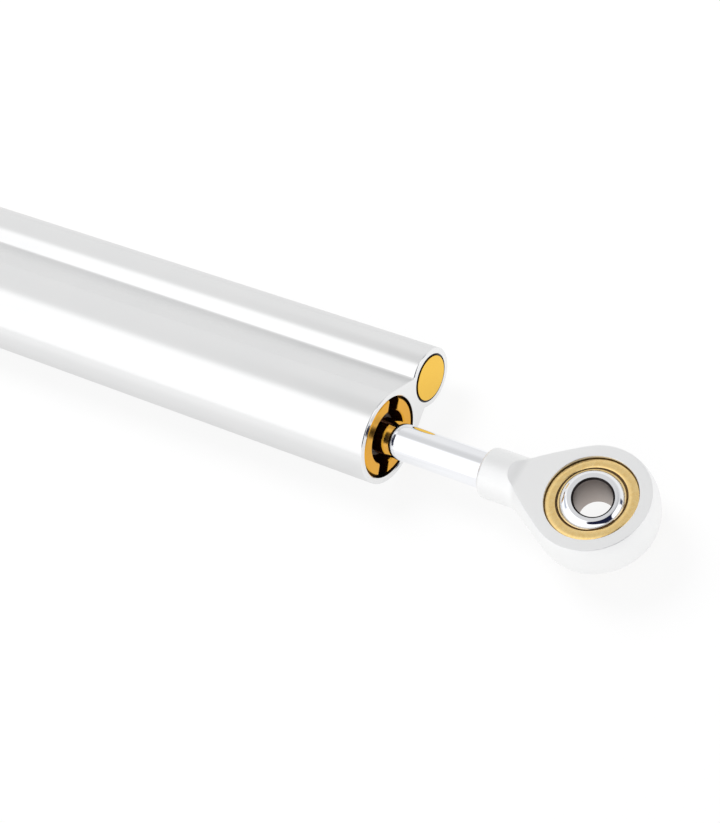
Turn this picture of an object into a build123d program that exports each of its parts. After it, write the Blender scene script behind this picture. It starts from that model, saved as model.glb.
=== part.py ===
from build123d import *
import math
import os

# A linear steering damper for a motorcycle. A one-piece aluminium body holds two parallel
# bores: the large one guides a piston on a rod that passes right through both glands, and the
# small one beside it is the oil channel from one side of the piston to the other. A needle
# valve at the channel's rear end, turned by a click knob, sets the damping. The rod's front
# end carries a turned eye with a lined plain spherical bearing.
#
# Frame: millimetres, origin at the centre of the spherical bearing, X along the rod with the
# eye's outer end at +X, Z up and square to the flats of the eye. The body lies towards -X.

# Spherical bearing in the eye
BOLT_BORE = 8.0
BOLT_BORE_CHAMFER = 0.4
BALL_DIAMETER = 16.2
BALL_WIDTH = 12.0
BALL_SWIVEL = 11.8
BALL_SWIVEL_HEADING = -28.0
RACE_DIAMETER = 19.6
RACE_WIDTH = 8.0
RACE_CHAMFER = 0.3
LINER_THICKNESS = 0.27
LINER_SETBACK = 0.45

# Rod eye, turned as a ball head on a coned neck and then milled flat on both sides
HEAD_DIAMETER = 26.5
HEAD_THICKNESS = 9.0
HEAD_SEAT_CHAMFER = 0.1
SHANK_DIAMETER = 11.0
SHANK_REACH = 25.4
SHANK_ROUND = 1.0
NECK_TAPER = 30.5
NECK_FILLET = 4.0
FLAT_REACH = 15.9
CUTTER_RADIUS = 4.5
STUD_DIAMETER = 6.0
STUD_LENGTH = 11.5
STUD_HOLE_SPARE = 1.0

# Body with its two bores
FACE_REACH = 50.15
BODY_LENGTH = 130.0
TUBE_DIAMETER = 21.0
TUBE_BORE = 16.0
CHANNEL_TUBE_DIAMETER = 13.6
CHANNEL_BORE = 9.0
CENTRE_DISTANCE = 17.15
CHANNEL_ANGLE = -3.45
WEB_HEIGHT = 10.0
VALLEY_FILLET = 0.4
END_CHAMFER = 0.3
MOUTH_CHAMFER = 0.2
MOUTH_GAP = 0.25
BORE_STEP_TAPER = 0.8

# Glands, one screwed into each end of the large bore
GLAND_LENGTH = 20.5
GLAND_RECESS = 0.3
GLAND_THREAD = 18.0
GLAND_THREAD_LENGTH = 11.0
GLAND_FACE_DIAMETER = 17.8
GLAND_HEAD_LENGTH = 1.5
GLAND_OUTER_CHAMFER = 0.5
GLAND_INNER_CHAMFER = 0.3
GLAND_ORING_SECTION = 1.5
GLAND_ORING_SETBACK = 1.2
SPANNER_SLOT_WIDTH = 3.5
SPANNER_SLOT_DEPTH = 3.5
SPANNER_SLOT_ANGLE = 46.0
WIPER_DIAMETER = 11.8
WIPER_POCKET_DEPTH = 5.4
WIPER_HEIGHT = 3.2
WIPER_LIP_THICKNESS = 0.7
BUSH_LENGTH = 8.0
BUSH_WALL = 1.0
SEAL_DIAMETER = 12.8
SEAL_WIDTH = 3.0
SEAL_LIP_DEPTH = 1.6
WASHER_THICKNESS = 0.8
SEAL_CLIP_THICKNESS = 0.8
SEAL_CLIP_DEPTH = 0.4
SEAL_CLIP_WIDTH = 1.5
CLIP_GAP = 2.0

# Piston rod and piston
ROD_DIAMETER = 8.0
ROD_CHAMFER = 0.5
ROD_TAIL = 52.0
ROD_KEY_WIDTH = 3.0
ROD_KEY_DEPTH = 4.0
STROKE_IN = 21.0
STROKE_OUT = 49.0
PISTON_LENGTH = 14.0
PISTON_END_LENGTH = 3.0
PISTON_END_RELIEF = 0.6
PISTON_RING_WIDTH = 3.0
PISTON_RING_THICKNESS = 1.3
PISTON_ORING_SECTION = 1.0
ROD_CLIP_THICKNESS = 0.8
ROD_CLIP_DEPTH = 0.4
ROD_CLIP_WIDTH = 1.6

# Front plug and floating compensator piston in the channel
PLUG_DIAMETER = 10.2
PLUG_PROUD = 0.2
PLUG_ROUND = 0.12
PLUG_SEAT = 10.6
PLUG_LENGTH = 6.8
PLUG_HOLLOW = 6.0
PLUG_HOLLOW_DEPTH = 3.5
PLUG_ORING_SECTION = 0.4
PLUG_ORING_SPARE = 0.08
COMPENSATOR_LENGTH = 6.0
COMPENSATOR_GAP = 2.2
COMPENSATOR_ORING_SECTION = 1.2

# Cross ports between the bores, each closed outside by a pressed ball
PORT_DIAMETER = 2.4
PORT_SETBACK = 2.2
PORT_BALL = 3.0
PORT_BALL_SINK = 0.2

# Needle valve and click adjuster at the channel's rear end
SEAT_LENGTH = 6.0
SEAT_ORIFICE = 2.5
SEAT_PORT_GAP = 1.0
CARTRIDGE_THREAD = 10.6
CARTRIDGE_THREAD_LENGTH = 13.0
CARTRIDGE_NOSE_LENGTH = 6.0
CARTRIDGE_ORING_SECTION = 1.0
CARTRIDGE_FLANGE_DIAMETER = 12.6
CARTRIDGE_FLANGE_THICKNESS = 1.5
CARTRIDGE_FLANGE_FLATS = 11.0
NECK_DIAMETER = 6.6
NECK_LENGTH = 7.0
NECK_GROOVE_DEPTH = 0.6
NEEDLE_DIAMETER = 3.2
NEEDLE_THREAD = 4.0
NEEDLE_THREAD_LENGTH = 5.0
NEEDLE_FLATS = 2.5
NEEDLE_TIP_LENGTH = 4.5
NEEDLE_TIP_DIAMETER = 0.8
NEEDLE_TIP_DEPTH = 2.5
NEEDLE_TAIL = 2.6
NEEDLE_ORING_SECTION = 0.7
NEEDLE_TRAVEL = 0.6
KNOB_DIAMETER = 12.8
KNOB_LENGTH = 10.5
KNOB_FLUTES = 16
KNOB_FLUTE_DIAMETER = 2.0
KNOB_FLUTE_DEPTH = 0.45
KNOB_CHAMFER = 0.6
GRUB_DIAMETER = 2.5
GRUB_SINK = 0.6
GRUB_KEY_WIDTH = 1.3
GRUB_KEY_DEPTH = 1.2
CLICKS_PER_TURN = 20
CLICK_CIRCLE = 9.8
CLICK_DEPTH = 0.15
DETENT_BALL = 1.5
DETENT_DEPTH = 4.6
DETENT_WIRE = 0.22
DETENT_TURNS = 4

# Clearances, each measured on one side
SEATED = 0.02
RUNNING = 0.03
LOOSE = 0.1

# Sizes worked out from those above
FRONT_FACE = -FACE_REACH
REAR_FACE = FRONT_FACE - BODY_LENGTH
BODY_MIDDLE = (FRONT_FACE + REAR_FACE) / 2
FRONT_GLAND_FACE = FRONT_FACE - GLAND_RECESS
CHAMBER_FRONT = FRONT_GLAND_FACE - GLAND_LENGTH
CHAMBER_REAR = 2 * BODY_MIDDLE - CHAMBER_FRONT
PISTON_CENTRE = BODY_MIDDLE + (STROKE_IN - STROKE_OUT) / 2
BALL_RADIUS = BALL_DIAMETER / 2
LINER_INNER_RADIUS = BALL_RADIUS + RUNNING
LINER_OUTER_RADIUS = LINER_INNER_RADIUS + LINER_THICKNESS
ROD_RADIUS = ROD_DIAMETER / 2
BORE_RADIUS = TUBE_BORE / 2
CHANNEL_RADIUS = CHANNEL_BORE / 2
FRONT_PORT = CHAMBER_FRONT - PORT_SETBACK
REAR_PORT = CHAMBER_REAR + PORT_SETBACK
SEAT_REAR = REAR_PORT + PORT_DIAMETER / 2 + SEAT_PORT_GAP
CARTRIDGE_SHOULDER = REAR_FACE + CARTRIDGE_THREAD_LENGTH
CARTRIDGE_NOSE = CARTRIDGE_SHOULDER + CARTRIDGE_NOSE_LENGTH
FLANGE_REAR = REAR_FACE - CARTRIDGE_FLANGE_THICKNESS
NECK_REAR = FLANGE_REAR - NECK_LENGTH
KNOB_FRONT = FLANGE_REAR - LOOSE
KNOB_REAR = KNOB_FRONT - KNOB_LENGTH
NEEDLE_REAR = NECK_REAR - LOOSE - NEEDLE_TAIL


def turned(*points):
    """A turned piece: the closed outline through (x, radius) points, spun about the X axis."""
    return revolve(make_face(Polyline(*points, close=True)), Axis.X)


def ring(front, rear, outer, inner):
    """A plain ring on the X axis between two stations, from its two diameters."""
    return turned((front, inner / 2), (front, outer / 2), (rear, outer / 2), (rear, inner / 2))


def rod(front, rear, diameter):
    """A plain round bar on the X axis between two stations."""
    return turned((front, 0), (front, diameter / 2), (rear, diameter / 2), (rear, 0))


def squeezed_ring(centre, width, outer, inner):
    """A fitted O-ring, squeezed between two round walls, with its four corners rounded off flat."""
    corner = min(width, (outer - inner) / 2) / 4
    half = width / 2
    low = inner / 2
    high = outer / 2
    return turned(
        (centre + half, low + corner),
        (centre + half, high - corner),
        (centre + half - corner, high),
        (centre - half + corner, high),
        (centre - half, high - corner),
        (centre - half, low + corner),
        (centre - half + corner, low),
        (centre + half - corner, low),
    )


def open_ring(front, rear, outer, inner):
    """A retaining clip: a flat ring with a gap at the top."""
    gap = Box(2 * abs(front - rear), CLIP_GAP, outer)
    return ring(front, rear, outer, inner) - Pos((front + rear) / 2, 0, outer / 2) * gap


def rear_twin(piece):
    """The same piece at the other end of the body, facing backwards."""
    return mirror(piece, Plane.YZ.offset(BODY_MIDDLE))


def on_channel(piece):
    """Moves a piece from the X axis to the channel's axis."""
    return Rot(CHANNEL_ANGLE, 0, 0) * Pos(0, CENTRE_DISTANCE, 0) * piece


def swivelled(piece):
    """Leans a piece made on the Z axis over with the ball, towards its heading."""
    heading = Rot(0, 0, BALL_SWIVEL_HEADING)
    return heading * Rot(0, BALL_SWIVEL, 0) * piece


def body_section():
    """The body's section: two tubes, joined by a web that leaves the large one tangentially."""
    large = TUBE_DIAMETER / 2
    small = CHANNEL_TUBE_DIAMETER / 2
    web_y = CENTRE_DISTANCE - math.sqrt(small**2 - (WEB_HEIGHT / 2) ** 2)
    web_z = WEB_HEIGHT / 2
    web_heading = math.atan2(web_z, web_y)
    tangent = web_heading + math.acos(large / math.hypot(web_y, web_z))
    touch_y = large * math.cos(tangent)
    touch_z = large * math.sin(tangent)
    web = Polygon(
        (touch_y, touch_z), (touch_y, -touch_z), (web_y, -web_z), (web_y, web_z), align=None
    )
    section = Circle(large) + web + Pos(CENTRE_DISTANCE, 0) * Circle(small)
    valleys = section.vertices().filter_by(lambda v: abs(v.X - web_y) < SEATED)
    return fillet(valleys, VALLEY_FILLET)


def tube_bore_outline():
    """The large bore: a shadow gap round each gland's head, its thread, then the smooth bore."""
    thread = GLAND_THREAD / 2
    mouth = GLAND_FACE_DIAMETER / 2 + MOUTH_GAP
    gap_depth = GLAND_RECESS + GLAND_HEAD_LENGTH
    taper_start = GLAND_RECESS + GLAND_THREAD_LENGTH + LOOSE
    front = [
        (FRONT_FACE + 1, 0),
        (FRONT_FACE + 1, mouth + MOUTH_CHAMFER),
        (FRONT_FACE, mouth + MOUTH_CHAMFER),
        (FRONT_FACE - MOUTH_CHAMFER, mouth),
        (FRONT_FACE - gap_depth, mouth),
        (FRONT_FACE - gap_depth, thread),
        (FRONT_FACE - taper_start, thread),
        (FRONT_FACE - taper_start - BORE_STEP_TAPER, BORE_RADIUS),
    ]
    rear = [(2 * BODY_MIDDLE - x, radius) for x, radius in reversed(front)]
    return front + rear


def channel_bore_outline():
    """The small bore: a ring pocket and plug seat in front, the cartridge thread behind."""
    pocket = PLUG_DIAMETER / 2 + PLUG_ORING_SECTION + 2 * SEATED
    pocket_depth = PLUG_ORING_SECTION + PLUG_ORING_SPARE
    return [
        (FRONT_FACE + 1, 0),
        (FRONT_FACE + 1, pocket),
        (FRONT_FACE - pocket_depth, pocket),
        (FRONT_FACE - pocket_depth, PLUG_SEAT / 2),
        (FRONT_FACE - PLUG_LENGTH - LOOSE, PLUG_SEAT / 2),
        (FRONT_FACE - PLUG_LENGTH - LOOSE, CHANNEL_RADIUS),
        (CARTRIDGE_SHOULDER, CHANNEL_RADIUS),
        (CARTRIDGE_SHOULDER, CARTRIDGE_THREAD / 2),
        (REAR_FACE - 1, CARTRIDGE_THREAD / 2),
        (REAR_FACE - 1, 0),
    ]


def cross_port(station):
    """A drilling from the channel's outer side, through the web, into the large bore."""
    outside = CENTRE_DISTANCE + CHANNEL_TUBE_DIAMETER / 2
    drill_length = outside - BORE_RADIUS + 2
    from_outside = (Align.CENTER, Align.CENTER, Align.MAX)
    drill = Cylinder(PORT_DIAMETER / 2, drill_length, align=from_outside)
    below_centre = math.sqrt((PORT_BALL / 2) ** 2 - (PORT_DIAMETER / 2) ** 2) + SEATED
    seat_depth = 1 + PORT_BALL_SINK + PORT_BALL / 2 + below_centre
    seat = Cylinder(PORT_BALL / 2 + SEATED, seat_depth, align=from_outside)
    along_y = Pos(station, outside + 1, 0) * Rot(-90, 0, 0)
    return Rot(CHANNEL_ANGLE, 0, 0) * (along_y * (drill + seat))


def make_housing():
    """The body: the section drawn out to length, chamfered, bored twice and cross drilled."""
    section = Plane.YZ.offset(REAR_FACE) * body_section()
    blank = extrude(section, BODY_LENGTH)
    ends = blank.faces().filter_by(Axis.X)
    blank = chamfer(ends.edges(), END_CHAMFER)
    blank = Rot(CHANNEL_ANGLE, 0, 0) * blank
    housing = blank - turned(*tube_bore_outline()) - on_channel(turned(*channel_bore_outline()))
    for station in (FRONT_PORT, REAR_PORT):
        housing = housing - cross_port(station)
    return housing


def make_port_balls():
    """Two steel balls pressed into the outer ends of the cross ports."""
    outside = CENTRE_DISTANCE + CHANNEL_TUBE_DIAMETER / 2
    depth = outside - PORT_BALL_SINK - PORT_BALL / 2
    stations = (FRONT_PORT, REAR_PORT)
    return [Rot(CHANNEL_ANGLE, 0, 0) * Pos(x, depth, 0) * Sphere(PORT_BALL / 2) for x in stations]


# Stations inside the front gland, counted inwards from its own outer face
BUSH_START = WIPER_POCKET_DEPTH + 1.0
SEAL_START = BUSH_START + BUSH_LENGTH + SEATED
WASHER_START = SEAL_START + SEAL_WIDTH + SEATED
SEAL_CLIP_START = WASHER_START + WASHER_THICKNESS + SEATED
GLAND_ORING_START = GLAND_THREAD_LENGTH + GLAND_ORING_SETBACK
GLAND_ORING_GROOVE = 1.3 * GLAND_ORING_SECTION
GLAND_ORING_RADIUS = BORE_RADIUS - 0.8 * GLAND_ORING_SECTION


def in_gland(depth):
    """The X station at a depth below the front gland's outer face."""
    return FRONT_GLAND_FACE - depth


def make_gland():
    """The front gland: a screwed gold bush with spanner slots, seal pockets and a ring groove."""
    face = GLAND_FACE_DIAMETER / 2
    thread = GLAND_THREAD / 2 - SEATED
    nose = BORE_RADIUS - SEATED
    wiper = WIPER_DIAMETER / 2
    clip_groove = SEAL_DIAMETER / 2 + SEAL_CLIP_DEPTH
    groove_end = GLAND_ORING_START + GLAND_ORING_GROOVE
    clip_end = SEAL_CLIP_START + SEAL_CLIP_THICKNESS + SEATED
    outer = [
        (0, face - GLAND_OUTER_CHAMFER),
        (GLAND_OUTER_CHAMFER, face),
        (GLAND_HEAD_LENGTH, face),
        (GLAND_HEAD_LENGTH, thread),
        (GLAND_THREAD_LENGTH, thread),
        (GLAND_THREAD_LENGTH, nose),
        (GLAND_ORING_START, nose),
        (GLAND_ORING_START, GLAND_ORING_RADIUS),
        (groove_end, GLAND_ORING_RADIUS),
        (groove_end, nose),
        (GLAND_LENGTH, nose),
    ]
    inner = [
        (GLAND_LENGTH, SEAL_DIAMETER / 2),
        (clip_end, SEAL_DIAMETER / 2),
        (clip_end, clip_groove),
        (SEAL_CLIP_START, clip_groove),
        (SEAL_CLIP_START, SEAL_DIAMETER / 2),
        (SEAL_START, SEAL_DIAMETER / 2),
        (SEAL_START, ROD_RADIUS + BUSH_WALL),
        (BUSH_START, ROD_RADIUS + BUSH_WALL),
        (BUSH_START, ROD_RADIUS + 3 * LOOSE),
        (WIPER_POCKET_DEPTH, ROD_RADIUS + 3 * LOOSE),
        (WIPER_POCKET_DEPTH, wiper),
        (GLAND_INNER_CHAMFER, wiper),
        (0, wiper + GLAND_INNER_CHAMFER),
    ]
    blank = turned(*[(in_gland(depth), radius) for depth, radius in outer + inner])
    slot = Box(2 * SPANNER_SLOT_DEPTH, TUBE_DIAMETER, SPANNER_SLOT_WIDTH)
    return blank - Pos(FRONT_GLAND_FACE, 0, 0) * Rot(SPANNER_SLOT_ANGLE, 0, 0) * slot


def make_gland_o_ring():
    """The ring that seals the gland's nose in the large bore."""
    centre = in_gland(GLAND_ORING_START + GLAND_ORING_GROOVE / 2)
    outer = TUBE_BORE - 2 * SEATED
    return squeezed_ring(centre, GLAND_ORING_SECTION, outer, 2 * (GLAND_ORING_RADIUS + SEATED))


def make_wiper_seal():
    """The wiper: a ring in the outer pocket with a thin lip that leans out along the rod."""
    bottom = WIPER_POCKET_DEPTH - SEATED
    top = bottom - WIPER_HEIGHT
    shoulder = bottom - WIPER_HEIGHT / 2
    outer = WIPER_DIAMETER / 2 - SEATED
    lip = ROD_RADIUS + RUNNING
    waist = ROD_RADIUS + 3 * LOOSE
    middle = (outer + lip) / 2
    outline = [
        (bottom, waist),
        (bottom, outer),
        (shoulder, outer),
        (shoulder, middle),
        (top, lip + WIPER_LIP_THICKNESS),
        (top, lip),
        (shoulder, waist),
    ]
    return turned(*[(in_gland(depth), radius) for depth, radius in outline])


def make_guide_bush():
    """The plain bush that the rod slides in."""
    front = in_gland(BUSH_START + SEATED)
    rear = in_gland(BUSH_START + BUSH_LENGTH - SEATED)
    return ring(front, rear, 2 * (ROD_RADIUS + BUSH_WALL - SEATED), 2 * (ROD_RADIUS + RUNNING))


def make_rod_seal():
    """The pressure seal: a U section that opens towards the oil."""
    inner = ROD_RADIUS + RUNNING
    outer = SEAL_DIAMETER / 2 - SEATED
    middle = (inner + outer) / 2
    lip = (outer - inner) / 4
    start = SEAL_START + SEATED
    end = SEAL_START + SEAL_WIDTH
    outline = [
        (start, inner),
        (start, outer),
        (end, outer),
        (end, middle + lip),
        (end - SEAL_LIP_DEPTH, middle),
        (end, middle - lip),
        (end, inner),
    ]
    return turned(*[(in_gland(depth), radius) for depth, radius in outline])


def make_seal_washer():
    """The washer that backs the rod seal."""
    front = in_gland(WASHER_START)
    rear = in_gland(WASHER_START + WASHER_THICKNESS)
    return ring(front, rear, SEAL_DIAMETER - 2 * SEATED, ROD_DIAMETER + 6 * LOOSE)


def make_seal_circlip():
    """The clip that holds seal and washer in the gland."""
    front = in_gland(SEAL_CLIP_START + SEATED)
    rear = in_gland(SEAL_CLIP_START + SEAL_CLIP_THICKNESS)
    outer = SEAL_DIAMETER + 2 * (SEAL_CLIP_DEPTH - SEATED)
    return open_ring(front, rear, outer, outer - 2 * SEAL_CLIP_WIDTH)


PISTON_FRONT = PISTON_CENTRE + PISTON_LENGTH / 2
PISTON_REAR = PISTON_CENTRE - PISTON_LENGTH / 2
ROD_CLIP_GROOVE = ROD_CLIP_THICKNESS + SEATED
ROD_FRONT = -SHANK_REACH
ROD_REAR = REAR_FACE - ROD_TAIL


def make_piston_rod():
    """The rod: a stud for the eye, two clip grooves, and a key socket in the tail."""
    groove = ROD_RADIUS - ROD_CLIP_DEPTH
    clip_front = PISTON_FRONT + SEATED
    clip_rear = PISTON_REAR - SEATED
    blank = turned(
        (ROD_FRONT + STUD_LENGTH, 0),
        (ROD_FRONT + STUD_LENGTH, STUD_DIAMETER / 2 - ROD_CHAMFER),
        (ROD_FRONT + STUD_LENGTH - ROD_CHAMFER, STUD_DIAMETER / 2),
        (ROD_FRONT, STUD_DIAMETER / 2),
        (ROD_FRONT, ROD_RADIUS),
        (clip_front + ROD_CLIP_GROOVE, ROD_RADIUS),
        (clip_front + ROD_CLIP_GROOVE, groove),
        (clip_front, groove),
        (clip_front, ROD_RADIUS),
        (clip_rear, ROD_RADIUS),
        (clip_rear, groove),
        (clip_rear - ROD_CLIP_GROOVE, groove),
        (clip_rear - ROD_CLIP_GROOVE, ROD_RADIUS),
        (ROD_REAR + ROD_CHAMFER, ROD_RADIUS),
        (ROD_REAR, ROD_RADIUS - ROD_CHAMFER),
        (ROD_REAR, 0),
    )
    key = RegularPolygon(ROD_KEY_WIDTH / 2, 6, major_radius=False)
    socket = extrude(Plane.YZ.offset(ROD_REAR) * key, ROD_KEY_DEPTH)
    return blank - socket


def make_piston_circlips():
    """The two clips in the rod's grooves that hold the piston between them."""
    inner = ROD_DIAMETER - 2 * (ROD_CLIP_DEPTH - SEATED)
    outer = inner + 2 * ROD_CLIP_WIDTH
    front = PISTON_FRONT + SEATED + ROD_CLIP_GROOVE / 2
    rear = PISTON_REAR - SEATED - ROD_CLIP_GROOVE / 2
    half = ROD_CLIP_THICKNESS / 2
    return [open_ring(centre + half, centre - half, outer, inner) for centre in (front, rear)]


def make_piston():
    """The piston: relieved ends that keep the ports open, and a ring groove at its middle."""
    land = BORE_RADIUS - LOOSE
    end = land - PISTON_END_RELIEF
    groove = BORE_RADIUS - RUNNING - PISTON_RING_THICKNESS - RUNNING
    half_groove = PISTON_RING_WIDTH / 2 + RUNNING
    bore = ROD_RADIUS + SEATED
    seal_groove = bore + 0.8 * PISTON_ORING_SECTION
    half_seal = 0.65 * PISTON_ORING_SECTION
    front = [
        (PISTON_FRONT, bore),
        (PISTON_FRONT, end),
        (PISTON_FRONT - PISTON_END_LENGTH, end),
        (PISTON_FRONT - PISTON_END_LENGTH, land),
        (PISTON_CENTRE + half_groove, land),
        (PISTON_CENTRE + half_groove, groove),
    ]
    rear = [(2 * PISTON_CENTRE - x, radius) for x, radius in reversed(front)]
    inside = [
        (PISTON_CENTRE - half_seal, bore),
        (PISTON_CENTRE - half_seal, seal_groove),
        (PISTON_CENTRE + half_seal, seal_groove),
        (PISTON_CENTRE + half_seal, bore),
    ]
    return turned(*(front + rear + inside))


def make_piston_o_ring():
    """The ring that seals the piston on the rod."""
    inner = ROD_DIAMETER + 2 * SEATED
    outer = inner + 2 * 0.8 * PISTON_ORING_SECTION - 2 * SEATED
    return squeezed_ring(PISTON_CENTRE, PISTON_ORING_SECTION, outer, inner)


def make_piston_ring():
    """The low-friction ring that seals the piston in the bore."""
    half = PISTON_RING_WIDTH / 2
    outer = TUBE_BORE - 2 * RUNNING
    inner = outer - 2 * PISTON_RING_THICKNESS
    return ring(PISTON_CENTRE + half, PISTON_CENTRE - half, outer, inner)


def eye_outline():
    """Half the eye's turned outline: shank, coned neck and ball head, as one tangent line."""
    head = HEAD_DIAMETER / 2
    shank = SHANK_DIAMETER / 2
    taper = math.radians(NECK_TAPER)
    touch = (-head * math.sin(taper), head * math.cos(taper))
    middle = math.atan2(touch[1], touch[0]) / 2
    root = (shank - head / math.cos(taper)) / math.tan(taper)
    reach = NECK_FILLET * math.tan(taper / 2)
    neck = (root - reach, shank)
    cone = (root + reach * math.cos(taper), shank + reach * math.sin(taper))
    corner = (-SHANK_REACH, shank - SHANK_ROUND)
    edge = (-SHANK_REACH + SHANK_ROUND, shank)
    return (
        Line((-SHANK_REACH, 0), corner)
        + TangentArc(corner, edge, tangent=(0, 1))
        + Line(edge, neck)
        + TangentArc(neck, cone, tangent=(1, 0))
        + Line(cone, touch)
        + ThreePointArc(touch, (head * math.cos(middle), head * math.sin(middle)), (head, 0))
        + Line((head, 0), (-SHANK_REACH, 0))
    )


def flat_cutter():
    """The space that the milling cutter takes above the upper flat, with its run-out radius."""
    head = HEAD_DIAMETER / 2
    floor = HEAD_THICKNESS / 2
    length = FLAT_REACH + head + 1
    wide = HEAD_DIAMETER + 2
    corner = (Align.MIN, Align.CENTER, Align.MIN)
    travel = Pos(-FLAT_REACH, 0, floor) * Box(length, wide, head, align=corner)
    cutter = Rot(90, 0, 0) * Cylinder(CUTTER_RADIUS, wide)
    return travel + Pos(-FLAT_REACH, 0, floor + CUTTER_RADIUS) * cutter


def make_rod_eye():
    """The eye: turned, milled flat on both sides, bored for the race and for the rod's stud."""
    blank = revolve(make_face(eye_outline()), Axis.X)
    upper = flat_cutter()
    lower = mirror(upper, Plane.XY)
    seat_radius = RACE_DIAMETER / 2 + SEATED
    rim_radius = seat_radius + HEAD_SEAT_CHAMFER
    half = HEAD_THICKNESS / 2
    seat = Cylinder(seat_radius, HEAD_DIAMETER)
    rim = Cone(seat_radius, rim_radius, HEAD_SEAT_CHAMFER)
    rim = Pos(0, 0, half - HEAD_SEAT_CHAMFER / 2) * rim
    stud_depth = STUD_LENGTH + STUD_HOLE_SPARE
    stud_hole = rod(-SHANK_REACH + stud_depth, -SHANK_REACH - 1, STUD_DIAMETER + 2 * SEATED)
    return blank - upper - lower - seat - rim - mirror(rim, Plane.XY) - stud_hole


def zone(outer_radius, half_width):
    """A sphere cut down to a zone between two flats square to Z."""
    slab = Box(4 * outer_radius, 4 * outer_radius, 2 * half_width)
    return Sphere(outer_radius) & slab


def make_bearing_race():
    """The brass outer ring, hollowed to a sphere for the liner."""
    blank = Cylinder(RACE_DIAMETER / 2, RACE_WIDTH)
    rims = blank.edges().filter_by(GeomType.CIRCLE)
    return chamfer(rims, RACE_CHAMFER) - Sphere(LINER_OUTER_RADIUS + SEATED)


def make_bearing_liner():
    """The thin woven liner between race and ball, a shell of constant thickness."""
    half = RACE_WIDTH / 2 - LINER_SETBACK
    return zone(LINER_OUTER_RADIUS, half) - Sphere(LINER_INNER_RADIUS)


def make_bearing_ball():
    """The ball with its bolt bore, leaning as it was left by hand."""
    half = BALL_WIDTH / 2
    bore = BOLT_BORE / 2
    rim = Cone(bore, bore + BOLT_BORE_CHAMFER, BOLT_BORE_CHAMFER)
    rim = Pos(0, 0, half - BOLT_BORE_CHAMFER / 2) * rim
    ball = zone(BALL_RADIUS, half) - Cylinder(bore, 2 * BALL_WIDTH) - rim - mirror(rim, Plane.XY)
    return swivelled(ball)


def make_channel_plug():
    """The gold plug: a disc that stands just proud of the front face, hollow behind."""
    head = PLUG_DIAMETER / 2
    body = PLUG_SEAT / 2 - SEATED
    hollow = PLUG_HOLLOW / 2
    top = FRONT_FACE + PLUG_PROUD
    shoulder = FRONT_FACE - PLUG_ORING_SECTION - PLUG_ORING_SPARE
    rear = FRONT_FACE - PLUG_LENGTH
    bottom = rear + PLUG_HOLLOW_DEPTH
    rounding = TangentArc((top, head - PLUG_ROUND), (top - PLUG_ROUND, head), tangent=(0, 1))
    rest = Polyline(
        (top - PLUG_ROUND, head),
        (shoulder, head),
        (shoulder, body),
        (rear, body),
        (rear, hollow),
        (bottom, hollow),
        (bottom, 0),
        (top, 0),
        (top, head - PLUG_ROUND),
    )
    return on_channel(revolve(make_face(rounding + rest), Axis.X))


def make_channel_plug_o_ring():
    """The black ring that shows round the plug."""
    centre = FRONT_FACE - PLUG_ORING_SPARE - PLUG_ORING_SECTION / 2
    inner = PLUG_DIAMETER + 2 * SEATED
    outer = inner + 2 * PLUG_ORING_SECTION
    return on_channel(squeezed_ring(centre, PLUG_ORING_SECTION, outer, inner))


COMPENSATOR_FRONT = FRONT_FACE - PLUG_LENGTH - COMPENSATOR_GAP
COMPENSATOR_REAR = COMPENSATOR_FRONT - COMPENSATOR_LENGTH
COMPENSATOR_MIDDLE = (COMPENSATOR_FRONT + COMPENSATOR_REAR) / 2


def make_compensator_piston():
    """The floating piston that takes up the oil's thermal expansion, hollow towards the air."""
    outer = CHANNEL_RADIUS - RUNNING
    groove = outer - 0.8 * COMPENSATOR_ORING_SECTION
    half = 0.65 * COMPENSATOR_ORING_SECTION
    cup = groove - 1
    floor = COMPENSATOR_REAR + 1.5
    return on_channel(
        turned(
            (COMPENSATOR_FRONT, cup),
            (COMPENSATOR_FRONT, outer),
            (COMPENSATOR_MIDDLE + half, outer),
            (COMPENSATOR_MIDDLE + half, groove),
            (COMPENSATOR_MIDDLE - half, groove),
            (COMPENSATOR_MIDDLE - half, outer),
            (COMPENSATOR_REAR, outer),
            (COMPENSATOR_REAR, 0),
            (floor, 0),
            (floor, cup),
        )
    )


def make_compensator_o_ring():
    """The floating piston's ring."""
    outer = CHANNEL_BORE - 2 * RUNNING
    inner = outer - 2 * (0.8 * COMPENSATOR_ORING_SECTION - SEATED)
    return on_channel(squeezed_ring(COMPENSATOR_MIDDLE, COMPENSATOR_ORING_SECTION, outer, inner))


def make_needle_seat():
    """The brass seat pressed into the channel, with a coned orifice."""
    outer = CHANNEL_RADIUS - SEATED
    orifice = SEAT_ORIFICE / 2
    front = SEAT_REAR + SEAT_LENGTH
    cone = front - SEAT_LENGTH / 3
    return on_channel(
        turned(
            (front, outer),
            (SEAT_REAR, outer),
            (SEAT_REAR, orifice),
            (cone, orifice),
            (front, outer - 1),
        )
    )


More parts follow.
